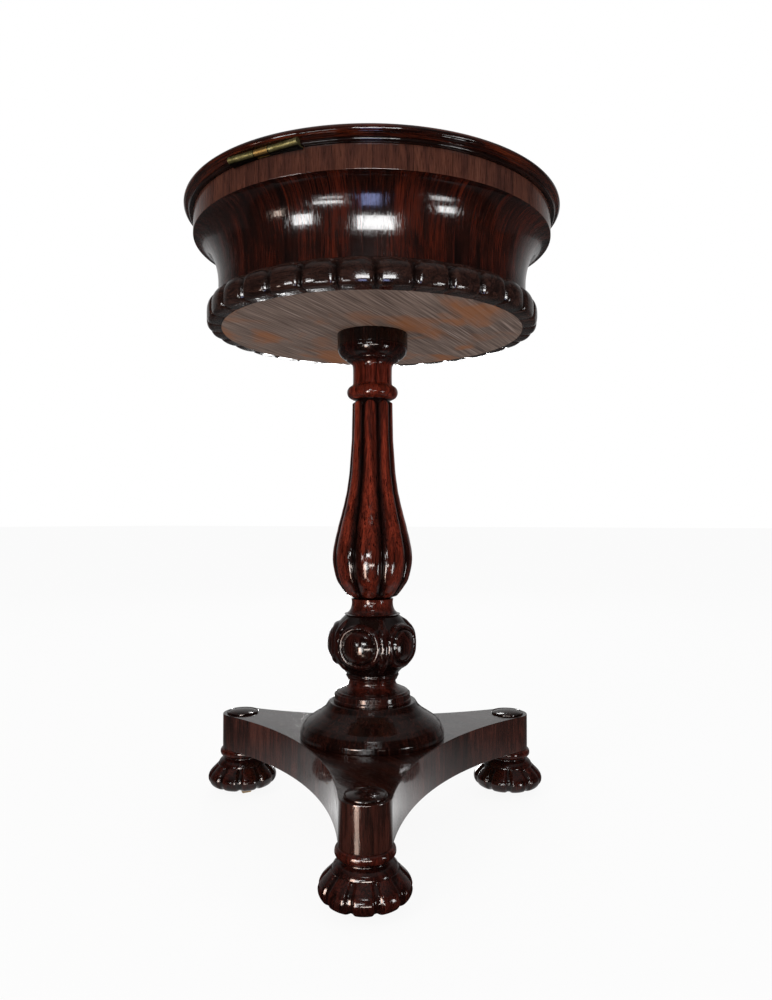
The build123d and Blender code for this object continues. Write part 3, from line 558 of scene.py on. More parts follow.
# %% [markdown]
# ## The platform
# The base is a three-cornered slab with hollow sides, cut from deal, with rosewood veneer laid upright
# on its edge and flat on its top. Its outline is six arcs: a small one round each foot and a wide
# hollow one between two feet, each tangent to the next. The grid follows that outline.

# %% Platform
foot_circle, end_radius, waist_radius, base_turn = 213.0, 27.0, 95.0, -2.3
platform_bottom, platform_top, arris = 60.0, 106.5, 0.9
foot_turns = [math.radians(base_turn + 120 * k) for k in range(3)]
foot_middles = [foot_circle * np.array([math.cos(turn), math.sin(turn), 0]) for turn in foot_turns]
inset = waist_radius - end_radius
side_centre = (foot_circle**2 - inset**2) / (foot_circle - 2 * inset)
side_radius = side_centre - waist_radius
outline_step, tenon_room, tenon_cover = 2.4, 19.2, 12.0
# An end arc leans this far to either side of its foot's own direction, up to the hollow arcs.
sixth = math.pi / 3
lean = math.atan2(side_centre * math.sin(sixth), side_centre * math.cos(sixth) - foot_circle)


def arc(centre_reach, centre_turn, radius, start, sweep):
    """Points c + r (cos t, sin t) along an arc, and the outward normals of the slab there."""
    t = start + sweep * np.arange(0, 1, 1 / math.ceil(abs(sweep) * radius / outline_step))
    heading = np.stack([np.cos(t), np.sin(t)], axis=-1)
    centre = centre_reach * np.array([math.cos(centre_turn), math.sin(centre_turn)])
    return np.stack([centre + radius * heading, heading * np.sign(sweep)])


# Anticlockwise: an end arc about its foot, and then a hollow arc about a centre outside the slab.
hollow_sweep = 2 * (sixth - lean)
rim, rim_normal = np.concatenate([
    part for turn in foot_turns for part in (
        arc(foot_circle, turn, end_radius, turn - lean, 2 * lean),
        arc(side_centre, turn + sixth, side_radius, turn + lean + np.pi, hollow_sweep),
    )
], axis=1)
edge = softened(
    [(-arris, platform_bottom), (0, platform_bottom), (0, platform_top), (-arris, platform_top)], arris
)
back, height = edge[:, :1], edge[:, 1:]
grid = np.concatenate(
    [rim[None] + back[..., None] * rim_normal[None], height[..., None] + 0 * rim[None, :, :1]], axis=-1
)
steps = np.linalg.norm(np.diff(np.concatenate([rim, rim[:1]]), axis=0), axis=1)
around = np.concatenate([[0], np.cumsum(steps)])
platform = surface(
    "base_platform_veneered", grid, grain=(height * MM + 0 * around, around * MM + 0 * height)
)
cut(platform, prism(circle(0, 0, tenon_room), platform_bottom - 1, platform_top - tenon_cover))
platform_finishes = (platform_rosewood, flat_rosewood, carcass_deal)
dress(platform, "stand", "rosewood_veneer", ["base_platform"], *platform_finishes)
facing = np.zeros(len(platform.data.polygons) * 3)
platform.data.polygons.foreach_get("normal", facing)
up = facing[2::3]
finish = np.where(up > 0.9, 1, np.where(up < -0.9, 2, 0)).astype(np.int32)
platform.data.polygons.foreach_set("material_index", finish)
print("platform outline", round(float(around[-1])), "mm")

# %% [markdown]
# ## Caps and plinth
# A low domed cap hides the platform's end over each foot, and a turned plinth with an upright rim and
# a hollow cone carries the column. Both are lathe work: one profile turned round.

# %% Caps and plinth
cap_edge = [(0.2, 106.4), (21.3, 106.4), (21.8, 107.0), (21.7, 108.0), (20.9, 108.8)]
dome_radius, dome_top, dome_fall = 21.146, 111.1, 4.37
cap_dome = [
    (dome_radius * math.sin(a), dome_top - dome_fall * (1 - math.cos(1.1 * a)))
    for a in np.linspace(1.15, 0.01, 12)
]
for number, foot_middle in enumerate(foot_middles, 1):
    cap = surface(f"base_cap_turned_{number}", turned(cap_edge + cap_dome, 72) + foot_middle)
    dress(cap, "stand", "carved_rosewood", ["base_caps"], turned_rosewood)

plinth_profile = softened(
    [(19, 106.5), (90, 106.5), (90, 113.2), (85.6, 121.8), (81, 126.4), (73.5, 131.4), (65.5, 136.4),
     (58.5, 142.6), (54.3, 149.5), (19, 149.5)], 1.1,
)
plinth = surface("plinth_turned", turned(plinth_profile, 240), loop=True)
dress(plinth, "stand", "rosewood_veneer", ["plinth_disc"], turned_rosewood)

# %% [markdown]
# ## The column
# The column is one long turning that a carver then worked. From below: a stepped foot and a hollow, a
# ball with five round bosses in raised rings and a pointed leaf between each two, a thin neck, a vase
# of eight lobes that thin upwards, a ring, a neck, and a cup under the box. The radius is worked out
# for every row and column of the grid at once, so that the carving meets the turning cleanly.

# %% Column: the ball with its roundels
column_columns = 256
ball_bottom, ball_top, ball_middle = 177.0, 257.0, 221.5
roundel_count, ball_turn = 5, 27.5
ball_heights = [177, 179, *range(182, 258, 5)]
ball_radii = [
    31.0, 31.8, 33.6, 37.6, 42.4, 46.8, 50.4, 52.7, 54.0, 54.4, 54.5, 54.2, 53.6, 52.3, 49.6, 45.2,
    40.6, 35.5,
]
boss_edge, boss_rise, boss_fall, groove_half = 20.0, 1.9, 2.4, 1.6
ring_middle, ring_half, ring_rise, ring_floor = 26.2, 3.8, 3.8, -2.9
leaf_half, leaf_reach, leaf_rise, ground_floor = 6.8, 40.0, 3.4, -2.7
carving_end, plain_start = 43.0, 47.5


def carved_ball(way, angle, turned_radius):
    """Radius of the ball and the depth of its grooves. The carving is an offset from the turned
    surface that depends on rho, the distance along that surface from the roundel's middle: a domed
    boss rise - fall (rho/edge)^2, a groove, a round bead floor + rise sqrt(1 - ((rho - middle)/half)^2),
    and outside it the sunk ground with a leaf that rises as sqrt(1 - (s/w)^2)."""
    half_turn = math.pi / roundel_count
    d = half_turn * across_lobe(angle, roundel_count, ball_turn - math.degrees(half_turn))
    rho = np.hypot(turned_radius * d, way)
    boss = boss_rise - boss_fall * (rho / boss_edge) ** 2
    round_top = np.sqrt(np.clip(1 - ((rho - ring_middle) / ring_half) ** 2, 0, 1))
    bead = ring_floor + ring_rise * round_top
    face = boss + (bead - boss) * eased(rho, boss_edge - groove_half, boss_edge + groove_half)
    side = (half_turn - np.abs(d)) * turned_radius
    width = leaf_half * np.sqrt(np.clip(1 - (way / leaf_reach) ** 2, 0.02, 1))
    leaf = np.sqrt(np.clip(1 - (side / width) ** 2, 0, 1)) * eased(leaf_reach - np.abs(way), 0, 9)
    outer = ring_middle + ring_half
    ground = np.where(rho > outer - 0.6, ground_floor + leaf_rise * leaf, ring_floor)
    inside = 1 - eased(rho, outer - 0.9, outer + 0.5)
    groove = inside * np.exp(-(((rho - boss_edge - 1.2) / groove_half) ** 2))
    groove = groove + (1 - inside) * np.clip(1 - 3.2 * leaf, 0, 1)
    rim = eased(np.abs(way), carving_end, plain_start)
    offset = inside * face + (1 - inside) * ground
    return turned_radius + offset * (1 - rim), groove * (1 - rim)


# %% Column: the lobed vase
vase_bottom, vase_top = 277.0, 527.0
vase_heights = [
    277, 279, 282, 287, 292, 297, 302, 310, 317, 325, 332, 340, 347, 355, 360, 367, 375, 380, 388, 395,
    403, 410, 418, 426, 436, 446, 466, 478, 489, 515, 527,
]
vase_radii = [
    26.7, 30.2, 32.8, 36.9, 40.3, 43.7, 45.9, 48.0, 49.4, 50.3, 50.1, 49.3, 47.9, 46.3, 44.8, 43.4,
    41.2, 39.8, 37.9, 36.0, 34.4, 32.7, 31.6, 30.4, 29.2, 28.5, 27.1, 26.3, 26.1, 25.6, 25.4,
]
lobe_count, vase_turn, lobe_depth = 8, 0.4, 0.15
fillet_place, fillet_width, fillet_rise = 0.93, 0.05, 0.35
arch_rise, arch_top, arch_bottom = 11.0, 2.5, 1.5


def carved_vase(height, angle, crest):
    """Radius and groove depth of the vase: crest (1 - depth (0.3 p^2 + 0.7 |p|^7)), with p from -1 to
    1 across a lobe. The lobes end in round arches, outside which the ground lies at full depth."""
    p = across_lobe(angle, lobe_count, vase_turn)
    fall = 0.3 * p**2 + 0.7 * np.abs(p) ** 7
    arch = arch_rise * (1 - np.sqrt(np.clip(1 - p**2, 0, 1)))
    over = eased(vase_top - arch_top - arch - height, -1.2, 1.8)
    body = over * eased(height - vase_bottom - arch_bottom - 0.5 * arch, -1.2, 1.8)
    fillet = fillet_rise * np.exp(-(((np.abs(p) - fillet_place) / fillet_width) ** 2)) * body
    radius = crest * (1 - lobe_depth * (1 + (fall - 1) * body)) + fillet
    return radius, np.abs(p) ** 3 * body + (1 - body) * 0.9


# %% Column: the whole turning
foot_turning = softened(
    [(18.9, 60.3), (18.9, 149.55), (48.7, 149.55), (48.7, 152.9), (47.4, 153.5), (47.4, 159.5),
     (45.6, 160.2), (44.9, 161.9), (42.4, 162.6), (40, 164), (36.2, 165.6), (33.1, 167.2), (30.8, 169.2),
     (29.5, 171.5), (29.2, 173.8), (29.8, 175.8), (31.0, 176.8)], 0.7, 3,
)
ball_rows = np.linspace(ball_bottom, ball_top, 96)
waist_turning = softened(
    [(35.0, 257.5), (32.6, 257.9), (31.4, 258.2), (31.0, 259.2), (29.6, 260.2), (27.4, 263.5),
     (26.1, 267.5), (25.7, 271.5), (26.0, 274.5), (26.4, 276.4)], 0.9, 2,
)
vase_spans = ((277, 296, 16), (300, 500, 40), (502, 527, 20))
vase_rows = np.concatenate([np.linspace(*span) for span in vase_spans])
top_turning = softened(
    [(25.4, 527.8), (26.6, 528.6), (29.0, 529.6), (31.0, 531.8), (32.1, 534.4), (32.3, 536.4),
     (32.0, 538.8), (30.8, 541.4), (28.7, 543.4), (26.2, 544.8), (25.0, 546.2), (24.7, 549), (24.6, 556),
     (24.7, 566), (25.0, 569.6), (26.2, 572.2), (28.6, 574.6), (31.6, 576.0), (33.0, 576.8),
     (33.3, 578.2), (36.2, 579.6), (39.6, 582.2), (42.4, 585.6), (44.0, 589), (44.5, 591.6),
     (44.5, 593.9)], 0.8, 2,
)
angle = turns(column_columns)[None]
ball_crest = through(ball_heights, ball_radii, ball_rows)
vase_crest = through(vase_heights, vase_radii, vase_rows)
ball_step = np.hypot(np.gradient(ball_crest), np.gradient(ball_rows))
ball_way = np.cumsum(ball_step) - np.interp(ball_middle, ball_rows, np.cumsum(ball_step))
ball_shape, ball_groove = carved_ball(ball_way[:, None], angle, ball_crest[:, None])
vase_shape, vase_groove = carved_vase(vase_rows[:, None], angle, vase_crest[:, None])


def plain(profile):
    """Radius, height and groove of a stretch that is only turned."""
    return profile[:, :1], profile[:, 1:], 0


stretches = [
    plain(foot_turning), (ball_shape, ball_rows[:, None], ball_groove), plain(waist_turning),
    (vase_shape, vase_rows[:, None], vase_groove), plain(top_turning),
]
radius, height, groove = (
    np.concatenate([part[k] + 0 * part[1] + 0 * angle for part in stretches]) for k in range(3)
)
grid = polar(radius, angle, height)
# Lighter wood on the vase, least at its bottom, and in the hollow of the foot, fading towards the
# grooves: partly polish worn off by hands and dusters, partly painted sheen on the lobes' crowns.
rubbed_and_sheen_heights, rubbed_and_sheen_shares, hollow_share = [275, 292, 380, 500, 545], [0.42, 0.7, 1.0, 0.95, 0.75], 0.17
rubbed = eased(height, 255, 275) * (1 - eased(height, 568, 575)) * (1 - groove) ** 4
rubbed = rubbed * np.interp(height, rubbed_and_sheen_heights, rubbed_and_sheen_shares)
rubbed = rubbed + hollow_share * eased(height, 163, 168) * (1 - eased(height, 176, 180))
column = surface("column_carved", grid, groove=groove, rubbed=rubbed)
dress(column, "stand", "carved_rosewood", ["column"], carved_rosewood)

# %% [markdown]
# ## The lotus feet
# Each foot is a squat turning carved with ten petals that stand on their tips, under a thin neck and a
# ring. It is hollow below, and the castor hides in the well. The petals are lobes whose depth fades
# out at the neck, with deep round-ended grooves between them.

# %% Feet
foot_columns, petal_count, petal_depth, tip_rise, petal_top, ring_bottom = 240, 10, 3.6, 2.6, 38, 49
petal_profile = [
    (29, 32), (29, 8.6), (29.6, 8.1), (32.4, 8.0), (36.2, 8.8), (39.8, 10.2), (42.8, 12.2),
    (44.9, 14.8), (46.2, 17.8), (46.5, 20.6), (45.9, 23.6), (44.4, 26.8), (41.8, 30.0), (38.8, 33.0),
    (36.4, 35.4), (34.8, 37.0), (33.9, 38.0),
]
neck_profile = [
    (32.9, 38.2), (32.6, 39.6), (31.4, 42.0), (29.2, 44.4), (26.6, 46.0), (25.2, 46.8), (24.8, 47.8),
    (25.0, 48.8), (26.8, 49.6), (29.2, 51.2), (30.2, 53.2), (30.3, 55.2), (29.9, 57.4), (28.6, 59.2),
    (26.8, 59.95),
]
fine = np.concatenate([[0, 0.9], np.linspace(1, len(petal_profile) - 1, 58)])
petal_rows = traced(petal_profile, fine)
neck_rows = softened(neck_profile, 0.7, 3)
petal_taper = np.interp(fine, [0, 2.6, 5.0, 13.8, 15.2, 16], [0, 0, 0.9, 1, 0.8, 0.1])
tip_lift = np.interp(fine, [0, 1.5, 3.2, 6.5], [0, 0, 1, 0])
# Radius = profile - depth (0.16 p^2 + 0.84 g), with p across a petal and g a smooth groove near
# |p| = 1; the tips lift beside the grooves, which rounds them.
angle = turns(foot_columns)[None]
p = np.abs(across_lobe(angle, petal_count, 180 / petal_count))
groove = eased(p, 0.6, 0.86)
radius = petal_rows[:, :1] - petal_depth * petal_taper[:, None] * (0.16 * p**2 + 0.84 * groove)
height = petal_rows[:, 1:] + tip_rise * tip_lift[:, None] * p**4
radius = np.concatenate([radius, neck_rows[:, :1] + 0 * angle])
height = np.concatenate([height, neck_rows[:, 1:] + 0 * angle])
# The grooves' depth, which the carved finish darkens as painted shade, a little less on the feet.
depth = np.concatenate([0.7 * petal_taper[:, None] * groove, 0 * (neck_rows[:, :1] + angle)])
# Petal crowns and the ring get some lighter colour: partly worn polish, partly painted sheen.
worn_and_sheen = 0.07 * (1 - depth) * (height < petal_top) + 0.2 * (height > ring_bottom)
for number, (turn, foot_middle) in enumerate(zip(foot_turns, foot_middles), 1):
    shape = polar(radius, angle + turn, height) + foot_middle
    foot = surface(f"foot_carved_{number}", shape, groove=depth, rubbed=worn_and_sheen)
    dress(foot, "stand", "carved_rosewood", [f"foot_{number}"], carved_rosewood)

# %% [markdown]
# ## The foot of the box
# A ring of thirty-two gadroons runs round the foot of the box. A gadroon is a pillow-shaped lobe: the
# carver cuts narrow grooves across a rounded moulding and rolls the edges over into them. The lobes
# wrap under the ring, so the depth is measured along the profile's own normal.

# %% Gadroon ring
lobe_total, gadroon_turn, gadroon_depth = 32, 8.0, 6.4
gadroon_line = [
    (188.2, 611), (194, 611), (198.6, 611), (201.6, 611.5), (203.6, 612.6), (205.2, 615),
    (206.0, 618.5), (206.2, 623), (206.1, 627.5), (205.4, 632), (203.9, 636), (201.4, 639.6),
    (198.2, 642.2), (194.6, 643.6), (191.9, 644),
]
fine = np.linspace(0, len(gadroon_line) - 1, 57)
line = traced(gadroon_line, fine)
tangent = np.gradient(line, axis=0)
tangent /= np.linalg.norm(tangent, axis=1, keepdims=True)
inward = np.stack([-tangent[:, 1], tangent[:, 0]], axis=-1)
row_depth = np.interp(
    fine, [0, 1, 2, 3.5, 11, 12.6, 14], [0.8, 3.4, 4.8, gadroon_depth, gadroon_depth, 3.4, 0.2]
)[:, None]
groove_start = np.interp(fine, [0, 4, 8, 11.5, 14], [0.84, 0.74, 0.68, 0.56, 0.36])[:, None]
angle = turns(lobe_total * 24)[None]
p = np.abs(across_lobe(angle, lobe_total, gadroon_turn))
fall = np.clip((p - groove_start) / (1 - groove_start), 0, 1)
drop = row_depth * (0.24 * p**2 + 0.76 * fall**1.6)
carved = polar(line[:, :1] + inward[:, :1] * drop, angle, line[:, 1:] + inward[:, 1:] * drop)
grid = np.concatenate([carved, turned([(188.2, 644.0)], angle.size)])
depth = np.concatenate([fall * np.clip(row_depth / gadroon_depth, 0, 1), 0 * angle])
gadroons = surface("gadroon_ring_carved", grid, loop=True, groove=depth)
dress(gadroons, "stand", "carved_rosewood", ["gadroon_ring"], gadroon_rosewood)

# %% [markdown]
# ## The cove and the frieze
# The wall of the box is a deep hollow moulding. The maker bent leaves of veneer upright over it, each
# about 37 mm wide, and the joints between them still show as thin dark lines. Above it stands an
# upright band, cut out at the back for the hinge and at the front for the lock.

# %% Cove and frieze
cove_waist, band_radius, band_inner, cove_bore = 192.0, 222.4, 207.0, 180.0
cove_bottom, cove_top, frieze_top, curve_bottom = 621.2, 720.5, 746.7, 662.0
round_columns, grain_radius = 288, 200
swing = np.linspace(0, np.pi / 2, 34)
sizes = (band_radius - cove_waist, cove_top - curve_bottom)
hollow = np.stack(
    [band_radius - sizes[0] * np.cos(swing), curve_bottom + sizes[1] * np.sin(swing)], axis=-1
)
hollow[-1] = (band_radius - 0.25, cove_top)
rabbet = [(187.9, cove_bottom), (187.9, 644.1), (cove_waist, 644.1), (cove_waist, 650)]
cove_line = np.concatenate([[(cove_bore, cove_bottom)], rabbet, hollow, [(cove_bore, cove_top)]])
grid = turned(cove_line, round_columns)
cove = surface("cove_veneered", grid, grain=grain_up(grid, grain_radius), loop=True)
dress(cove, "stand", "rosewood_veneer", ["cove_wall"], cove_rosewood)

band_line = softened(rectangle(band_inner, band_radius, cove_top, frieze_top), 0.35, 3, closed=True)
grid = turned(band_line, round_columns)
band = surface("frieze_veneered", grid, grain=grain_up(grid, grain_radius), loop=True)
hinge_y, hinge_z, knuckle_radius, bed_inner = 226.2, 749.2, 3.8, 209.4
hinge_reach, hinge_room, leaf_thickness = 43.5, 0.4, 2.2
bed_reach = hinge_reach + hinge_room
lock_y, keyhole_z, eye_radius, slot_half, slot_drop, border = -213.2, 736.2, 2.4, 1.2, 7.0, 1.8


def keyhole(grow):
    """Keyhole outline in x and z: an eye over a slot, both widened by the same border."""
    radius, half, low = eye_radius + grow, slot_half + grow, keyhole_z - slot_drop - grow
    start = math.asin(half / radius)
    bend = np.linspace(-quarter + start, 3 * quarter - start, 40)
    eye = polar(radius, bend, 0)[:, :2] + np.array([0, keyhole_z])
    return np.concatenate([eye, [(-half, low), (half, low)]])


cut(
    band,
    prism(rectangle(-bed_reach, bed_reach, bed_inner, 240), frieze_top - leaf_thickness, frieze_top + 2),
    prism(rectangle(-23, 23, lock_y - 5, lock_y + 5), 724.9, frieze_top + 2),
    prism(rectangle(-30, 30, lock_y - 5.5, lock_y + 5.5), 744.9, frieze_top + 2),
    prism(keyhole(0), lock_y, -band_radius - 2, "xzy"),
    prism(keyhole(border), -band_radius + 1.3, -band_radius - 2, "xzy"),
)
dress(band, "stand", "rosewood_veneer", ["frieze_band"], band_rosewood)

# %% [markdown]
# ## The lid
# The lid is a flat veneered disc in a moulded rim: a quarter-round edge over a small hollow, with a
# bead below that closes onto the box. Its mouldings were turned or bent in lengths, so their fibres
# run round.

# %% Lid rim and bead
lid_grain_radius = 230
rim_line = softened(
    [(205, 761.99), (205, 751), (226.8, 751), (227.3, 751.7), (228.3, 752.8), (229.9, 753.3),
     (231.7, 753.4), (232.1, 754.1), (233.3, 755.2), (233.6, 757), (233.1, 759.2), (231.6, 761.1),
     (229.4, 762)], 0.6, 3,
)
grid = turned(rim_line, round_columns)
lid_rim = surface("lid_rim_moulded", grid, grain=grain_round(grid, lid_grain_radius), loop=True)
bead_line = softened(
    [(205, 747), (226.3, 747), (227.4, 748.2), (227.4, 749.8), (226.3, 751), (205, 751)], 0.8, 3,
    closed=True,
)
grid = turned(bead_line, round_columns)
lid_bead = surface("lid_bead_moulded", grid, grain=grain_round(grid, lid_grain_radius), loop=True)
barrel_room = circle(hinge_y, hinge_z, knuckle_radius + hinge_room)
cut(lid_rim, prism(barrel_room, -bed_reach, bed_reach, "yzx"))
cut(
    lid_bead,
    prism(rectangle(-bed_reach, bed_reach, bed_inner, 240), 745, 747 + leaf_thickness),
    prism(rectangle(-bed_reach, bed_reach, hinge_y - 4.2, 240), 745, 752),
    prism(rectangle(-22, 22, lock_y - 5.5, lock_y + 5.5), 745, 748.8),
)
dress(lid_rim, "lid", "rosewood_veneer", ["lid_rim"], moulding_rosewood)
dress(lid_bead, "lid", "rosewood_veneer", ["lid_bead"], shaded_bead_rosewood)

# %% [markdown]
# ## Inside the lid
# The lid is lined with a thin pad covered in crimson velvet, drawn tight over a card and tucked in at
# the rim, so it is almost flat. Only its edge rolls over, where the velvet gathers a little.

# %% Lining
pad_radius, pad_low, pad_high, gather_height = 204.6, 748.05, 750.95, 0.24
roll = [196, 200, 202.4, 203.8, 204.4, pad_radius]
reach = np.concatenate([np.linspace(2, 190, 40), roll, [pad_radius]])
sink = np.interp(reach, [0, 190, *roll[1:]], [0, 0.1, 0.2, 0.45, 0.9, 1.4, 1.9])
sink[-1] = pad_high - pad_low
grid = turned(np.stack([reach, pad_low + sink], axis=-1), 180)
angle = turns(180)[None]
waves = 1 + np.sin(45 * angle + 2 * np.sin(7 * angle))
gather = gather_height / 2 * waves * eased(reach, 150, 203)[:, None]
grid[:-1, :, 2] += gather[:-1]
lining = surface("lid_lining_velvet", grid)
dress(lining, "lid", "velvet", ["lid_lining"], crimson_velvet)

# %% [markdown]
# ## Inside the box
# Two rectangular canisters with moulded lids and turned knobs stand left and right, and two cut glass
# bowls hang between them by their lips in turned rings.

# %% Rings, bowls, canister lids and knobs
bowl_offset, flute_depth, flute_count = 62.0, 1.3, 24
ring_line = softened(
    [(50, 720.5), (53, 720.5), (53, 726.5), (57, 726.5), (57, 729), (50, 729)], 0.7, 3, closed=True
)
bowl_out = softened(
    [(0.5, 662), (22, 662), (35.2, 670.4), (45.5, 688.6), (49, 724), (49, 729), (54, 729), (54, 732),
     (45.5, 732), (45.2, 726), (42.1, 690.4), (31.8, 674), (18.5, 665.5), (0.5, 665.5)], 2.2,
)
outer_rows = 32
flute = np.interp(bowl_out[:, 1], [663, 670, 708, 716], [0, 1, 1, 0])
flute[outer_rows:] = 0
cuts = -flute_depth * flute[:, None] * np.abs(np.sin(flute_count / 2 * turns(240))) ** 1.5
for side, place in ((1, "back"), (-1, "front")):
    middle = np.array([0, side * bowl_offset, 0])
    ring = surface(f"bowl_ring_turned_{place}", turned(ring_line, 144) + middle, loop=True)
    dress(ring, "stand", "interior_rosewood", [f"bowl_ring_{place}"], case_rosewood)
    bowl = surface(f"glass_bowl_cut_{place}", turned(bowl_out, 240, cuts) + middle)
    dress(bowl, "stand", "cut_glass", [f"glass_bowl_{place}"], lead_glass)

canister_offset, half_width, half_length, corner = 104.0, 42.0, 65.0, 0.6
lid_steps = [
    (5.4, 724), (5.4, 729), (0, 729), (0, 730.8), (0.35, 731.5), (1.3, 731.9), (1.5, 732.4),
    (2.1, 732.85), (3, 733),
]
knob_line = softened(
    [(0.3, 733.0), (5.2, 733.0), (5.0, 734.2), (3.4, 735.6), (3.2, 736.6), (5.2, 737.6), (6.9, 739.0),
     (6.7, 740.6), (4.6, 741.8), (0.3, 742)], 0.8,
)


def canister_step(back, high):
    """One step of the lid: a rectangle set back from the lid's edge, with quarter-circle corners, each
    of them the corner's centre plus radius (cos t, sin t)."""
    bend = np.linspace(0, quarter, 6)
    reach = np.array([half_width - back - corner, half_length - back - corner, 0])
    return np.concatenate([
        np.array([sx, sy, 0]) * reach + polar(corner, bend + k * quarter, high)
        for k, (sx, sy) in enumerate(((1, 1), (-1, 1), (-1, -1), (1, -1)))
    ])


lid_shape = np.stack([canister_step(back, high) for back, high in lid_steps])
for side, place in ((1, "right"), (-1, "left")):
    middle = np.array([side * canister_offset, 0, 0])
    lid = surface(f"canister_lid_moulded_{place}", lid_shape + middle)
    dress(lid, "stand", "interior_rosewood", [f"canister_lid_{place}"], caddy_rosewood)
    knob = surface(f"canister_knob_turned_{place}", turned(knob_line, 64) + middle)
    dress(knob, "stand", "interior_rosewood", [f"canister_knob_{place}"], turned_rosewood)

# %% Collar
collar_line = softened([(16, 594), (44.6, 594), (44.6, 611), (16, 611)], 0.5, 3)
collar = surface("top_collar_turned", turned(collar_line, 180), loop=True)
dress(collar, "stand", "carved_rosewood", ["top_collar"], turned_rosewood)

# %% [markdown]
# ## Screws
# The hinge, the lock and its link plate are held by countersunk screws, whose heads lie flush in the
# plate with a slot filed across.

# %% Slotted screws
head_radius, slot_width, slot_depth = 2.3, 0.7, 0.45
hinge_screw_y, lid_plate_face = 215.6, 747.0


def slotted_screw(name, body, x, y, face, side, turn):
    """Flush screw head; side is 1 where the plate's face looks up and -1 where it looks down. The slot
    lies where |y cos t - x sin t| is under half its width."""
    reach = np.concatenate([[head_radius * 0.7, head_radius], np.linspace(head_radius - 0.15, 0.02, 16)])
    lift = np.concatenate([[-0.8, -0.05], np.full(16, 0.06)])
    profile = np.stack([reach, side * lift], axis=-1)[::side]
    shape = turned(profile, 64)
    across = np.abs(shape[..., 1] * math.cos(turn) - shape[..., 0] * math.sin(turn))
    half, edge = slot_width / 2, 0.08
    within = (1 - eased(across, half - edge, half + edge)) * (profile[:, :1] < head_radius - 0.1)
    shape[..., 2] -= side * slot_depth * within
    screw = surface(name, shape + np.array([x, y, face]))
    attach(screw, body)
    screw.data.materials.append(aged_brass)


for number, x in enumerate((-33.0, 0.0, 33.0), 1):
    slotted_screw(f"hinge_box_screw_{number}", "stand", x, hinge_screw_y, frieze_top, 1, 0.4 * number)
    slotted_screw(f"hinge_lid_screw_{number}", "lid", x, hinge_screw_y, lid_plate_face, -1, 1.1 * number)
for number, x in enumerate((-1.0, 1.0), 1):
    slotted_screw(f"lock_screw_{number}", "stand", 26.3 * x, lock_y, frieze_top, 1, 0.9 * number)
    slotted_screw(f"link_screw_{number}", "lid", 18.2 * x, lock_y, lid_plate_face, -1, 0.7 * number)
print("ten slotted screws")

# %% [markdown]
# ## Finishes on the pieces that keep their own mesh
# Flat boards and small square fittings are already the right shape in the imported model, so they keep
# it and only get the finish of the real material.

# %% Finishes by node
finishes = {
    board_deal: ["bottom_board"],
    carcass_deal: ["column_wedge"],
    flat_rosewood: ["lid_panel"],
    tray_rosewood: ["deck"],
    case_rosewood: ["partition_right", "partition_left", "canister_right", "canister_left"],
    hinge_brass: ["hinge_box_leaf", "hinge_lid_leaf", "hinge_pin"],
    aged_brass: ["escutcheon", "lock_case", "lock_bolt", "link_plate"],
    castor_brass: [f"castor_{part}_{k}" for part in ("plate", "fork", "wheel") for k in (1, 2, 3)],
    iron: ["collar_screws"] + [f"castor_axle_{k}" for k in (1, 2, 3)],
}
for material, nodes in finishes.items():
    for node in nodes:
        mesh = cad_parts[node].data
        mesh.materials.clear()
        mesh.materials.append(material)

# %% [markdown]
# ## Floor, light and camera
# The object stands on a plain white floor in a plain room. Polished wood shows its shape only through
# what it reflects. Three large lamps light the wood's own colour, and small bright cards, which only
# polish and metal can see, draw the highlights. The camera and the glass see plain white behind the
# object, all through Light Path. A glossy ray sees that white too where it leaves towards the pale
# back wall, and on the floor it sees a painted glow: white behind the object and round the column's
# foot, dim towards the camera. The floor keeps the object's shadow.

# %% Floor
view_azimuth = math.radians(119.5)
toward_camera = (math.cos(view_azimuth), math.sin(view_azimuth), 0.0)
floor_half, floor_glow, painted_glow_radius = 40.0, 0.92, 0.6
painted_glow_stops = [(0.2, "#ffffff"), (0.42, "#bcbcbc"), (0.8, "#565656"), (1.0, "#4a4a4a")]
mesh = bpy.data.meshes.new("studio_floor")
corners = rectangle(-floor_half, floor_half, -floor_half, floor_half)
mesh.from_pydata([(x, y, 0) for x, y in corners.tolist()], [], [(0, 1, 2, 3)])
floor = bpy.data.objects.new("studio_floor", mesh)
bpy.context.scene.collection.objects.link(floor)
paper, tree, shader = new_material("white_paper")
feed(tree, shader, {"Base Color": "#e8e8e8", "Roughness": 0.9, "Specular IOR Level": 0.1})


def along_view(tree, spot, stops):
    """Level by the part of a place or a direction that points towards the camera's side: the ramp
    starts where that part is -1 and ends where it is 1."""
    part = add_node(tree, "VectorMath", {0: spot, 1: toward_camera}, "Value", operation="DOT_PRODUCT")
    return ramped(tree, graded(tree, part, -1.0, 1.0), stops)


def seen_rays(tree):
    """1 for a ray from the camera or through glass, and 1 for a mirrored ray."""
    rays = add_node(tree, "LightPath").node.outputs
    seen = worked_out(tree, "MAXIMUM", rays["Is Camera Ray"], rays["Is Transmission Ray"])
    return seen, rays["Is Glossy Ray"]


seen, mirrored = seen_rays(tree)
place = add_node(tree, "NewGeometry", output="Position")
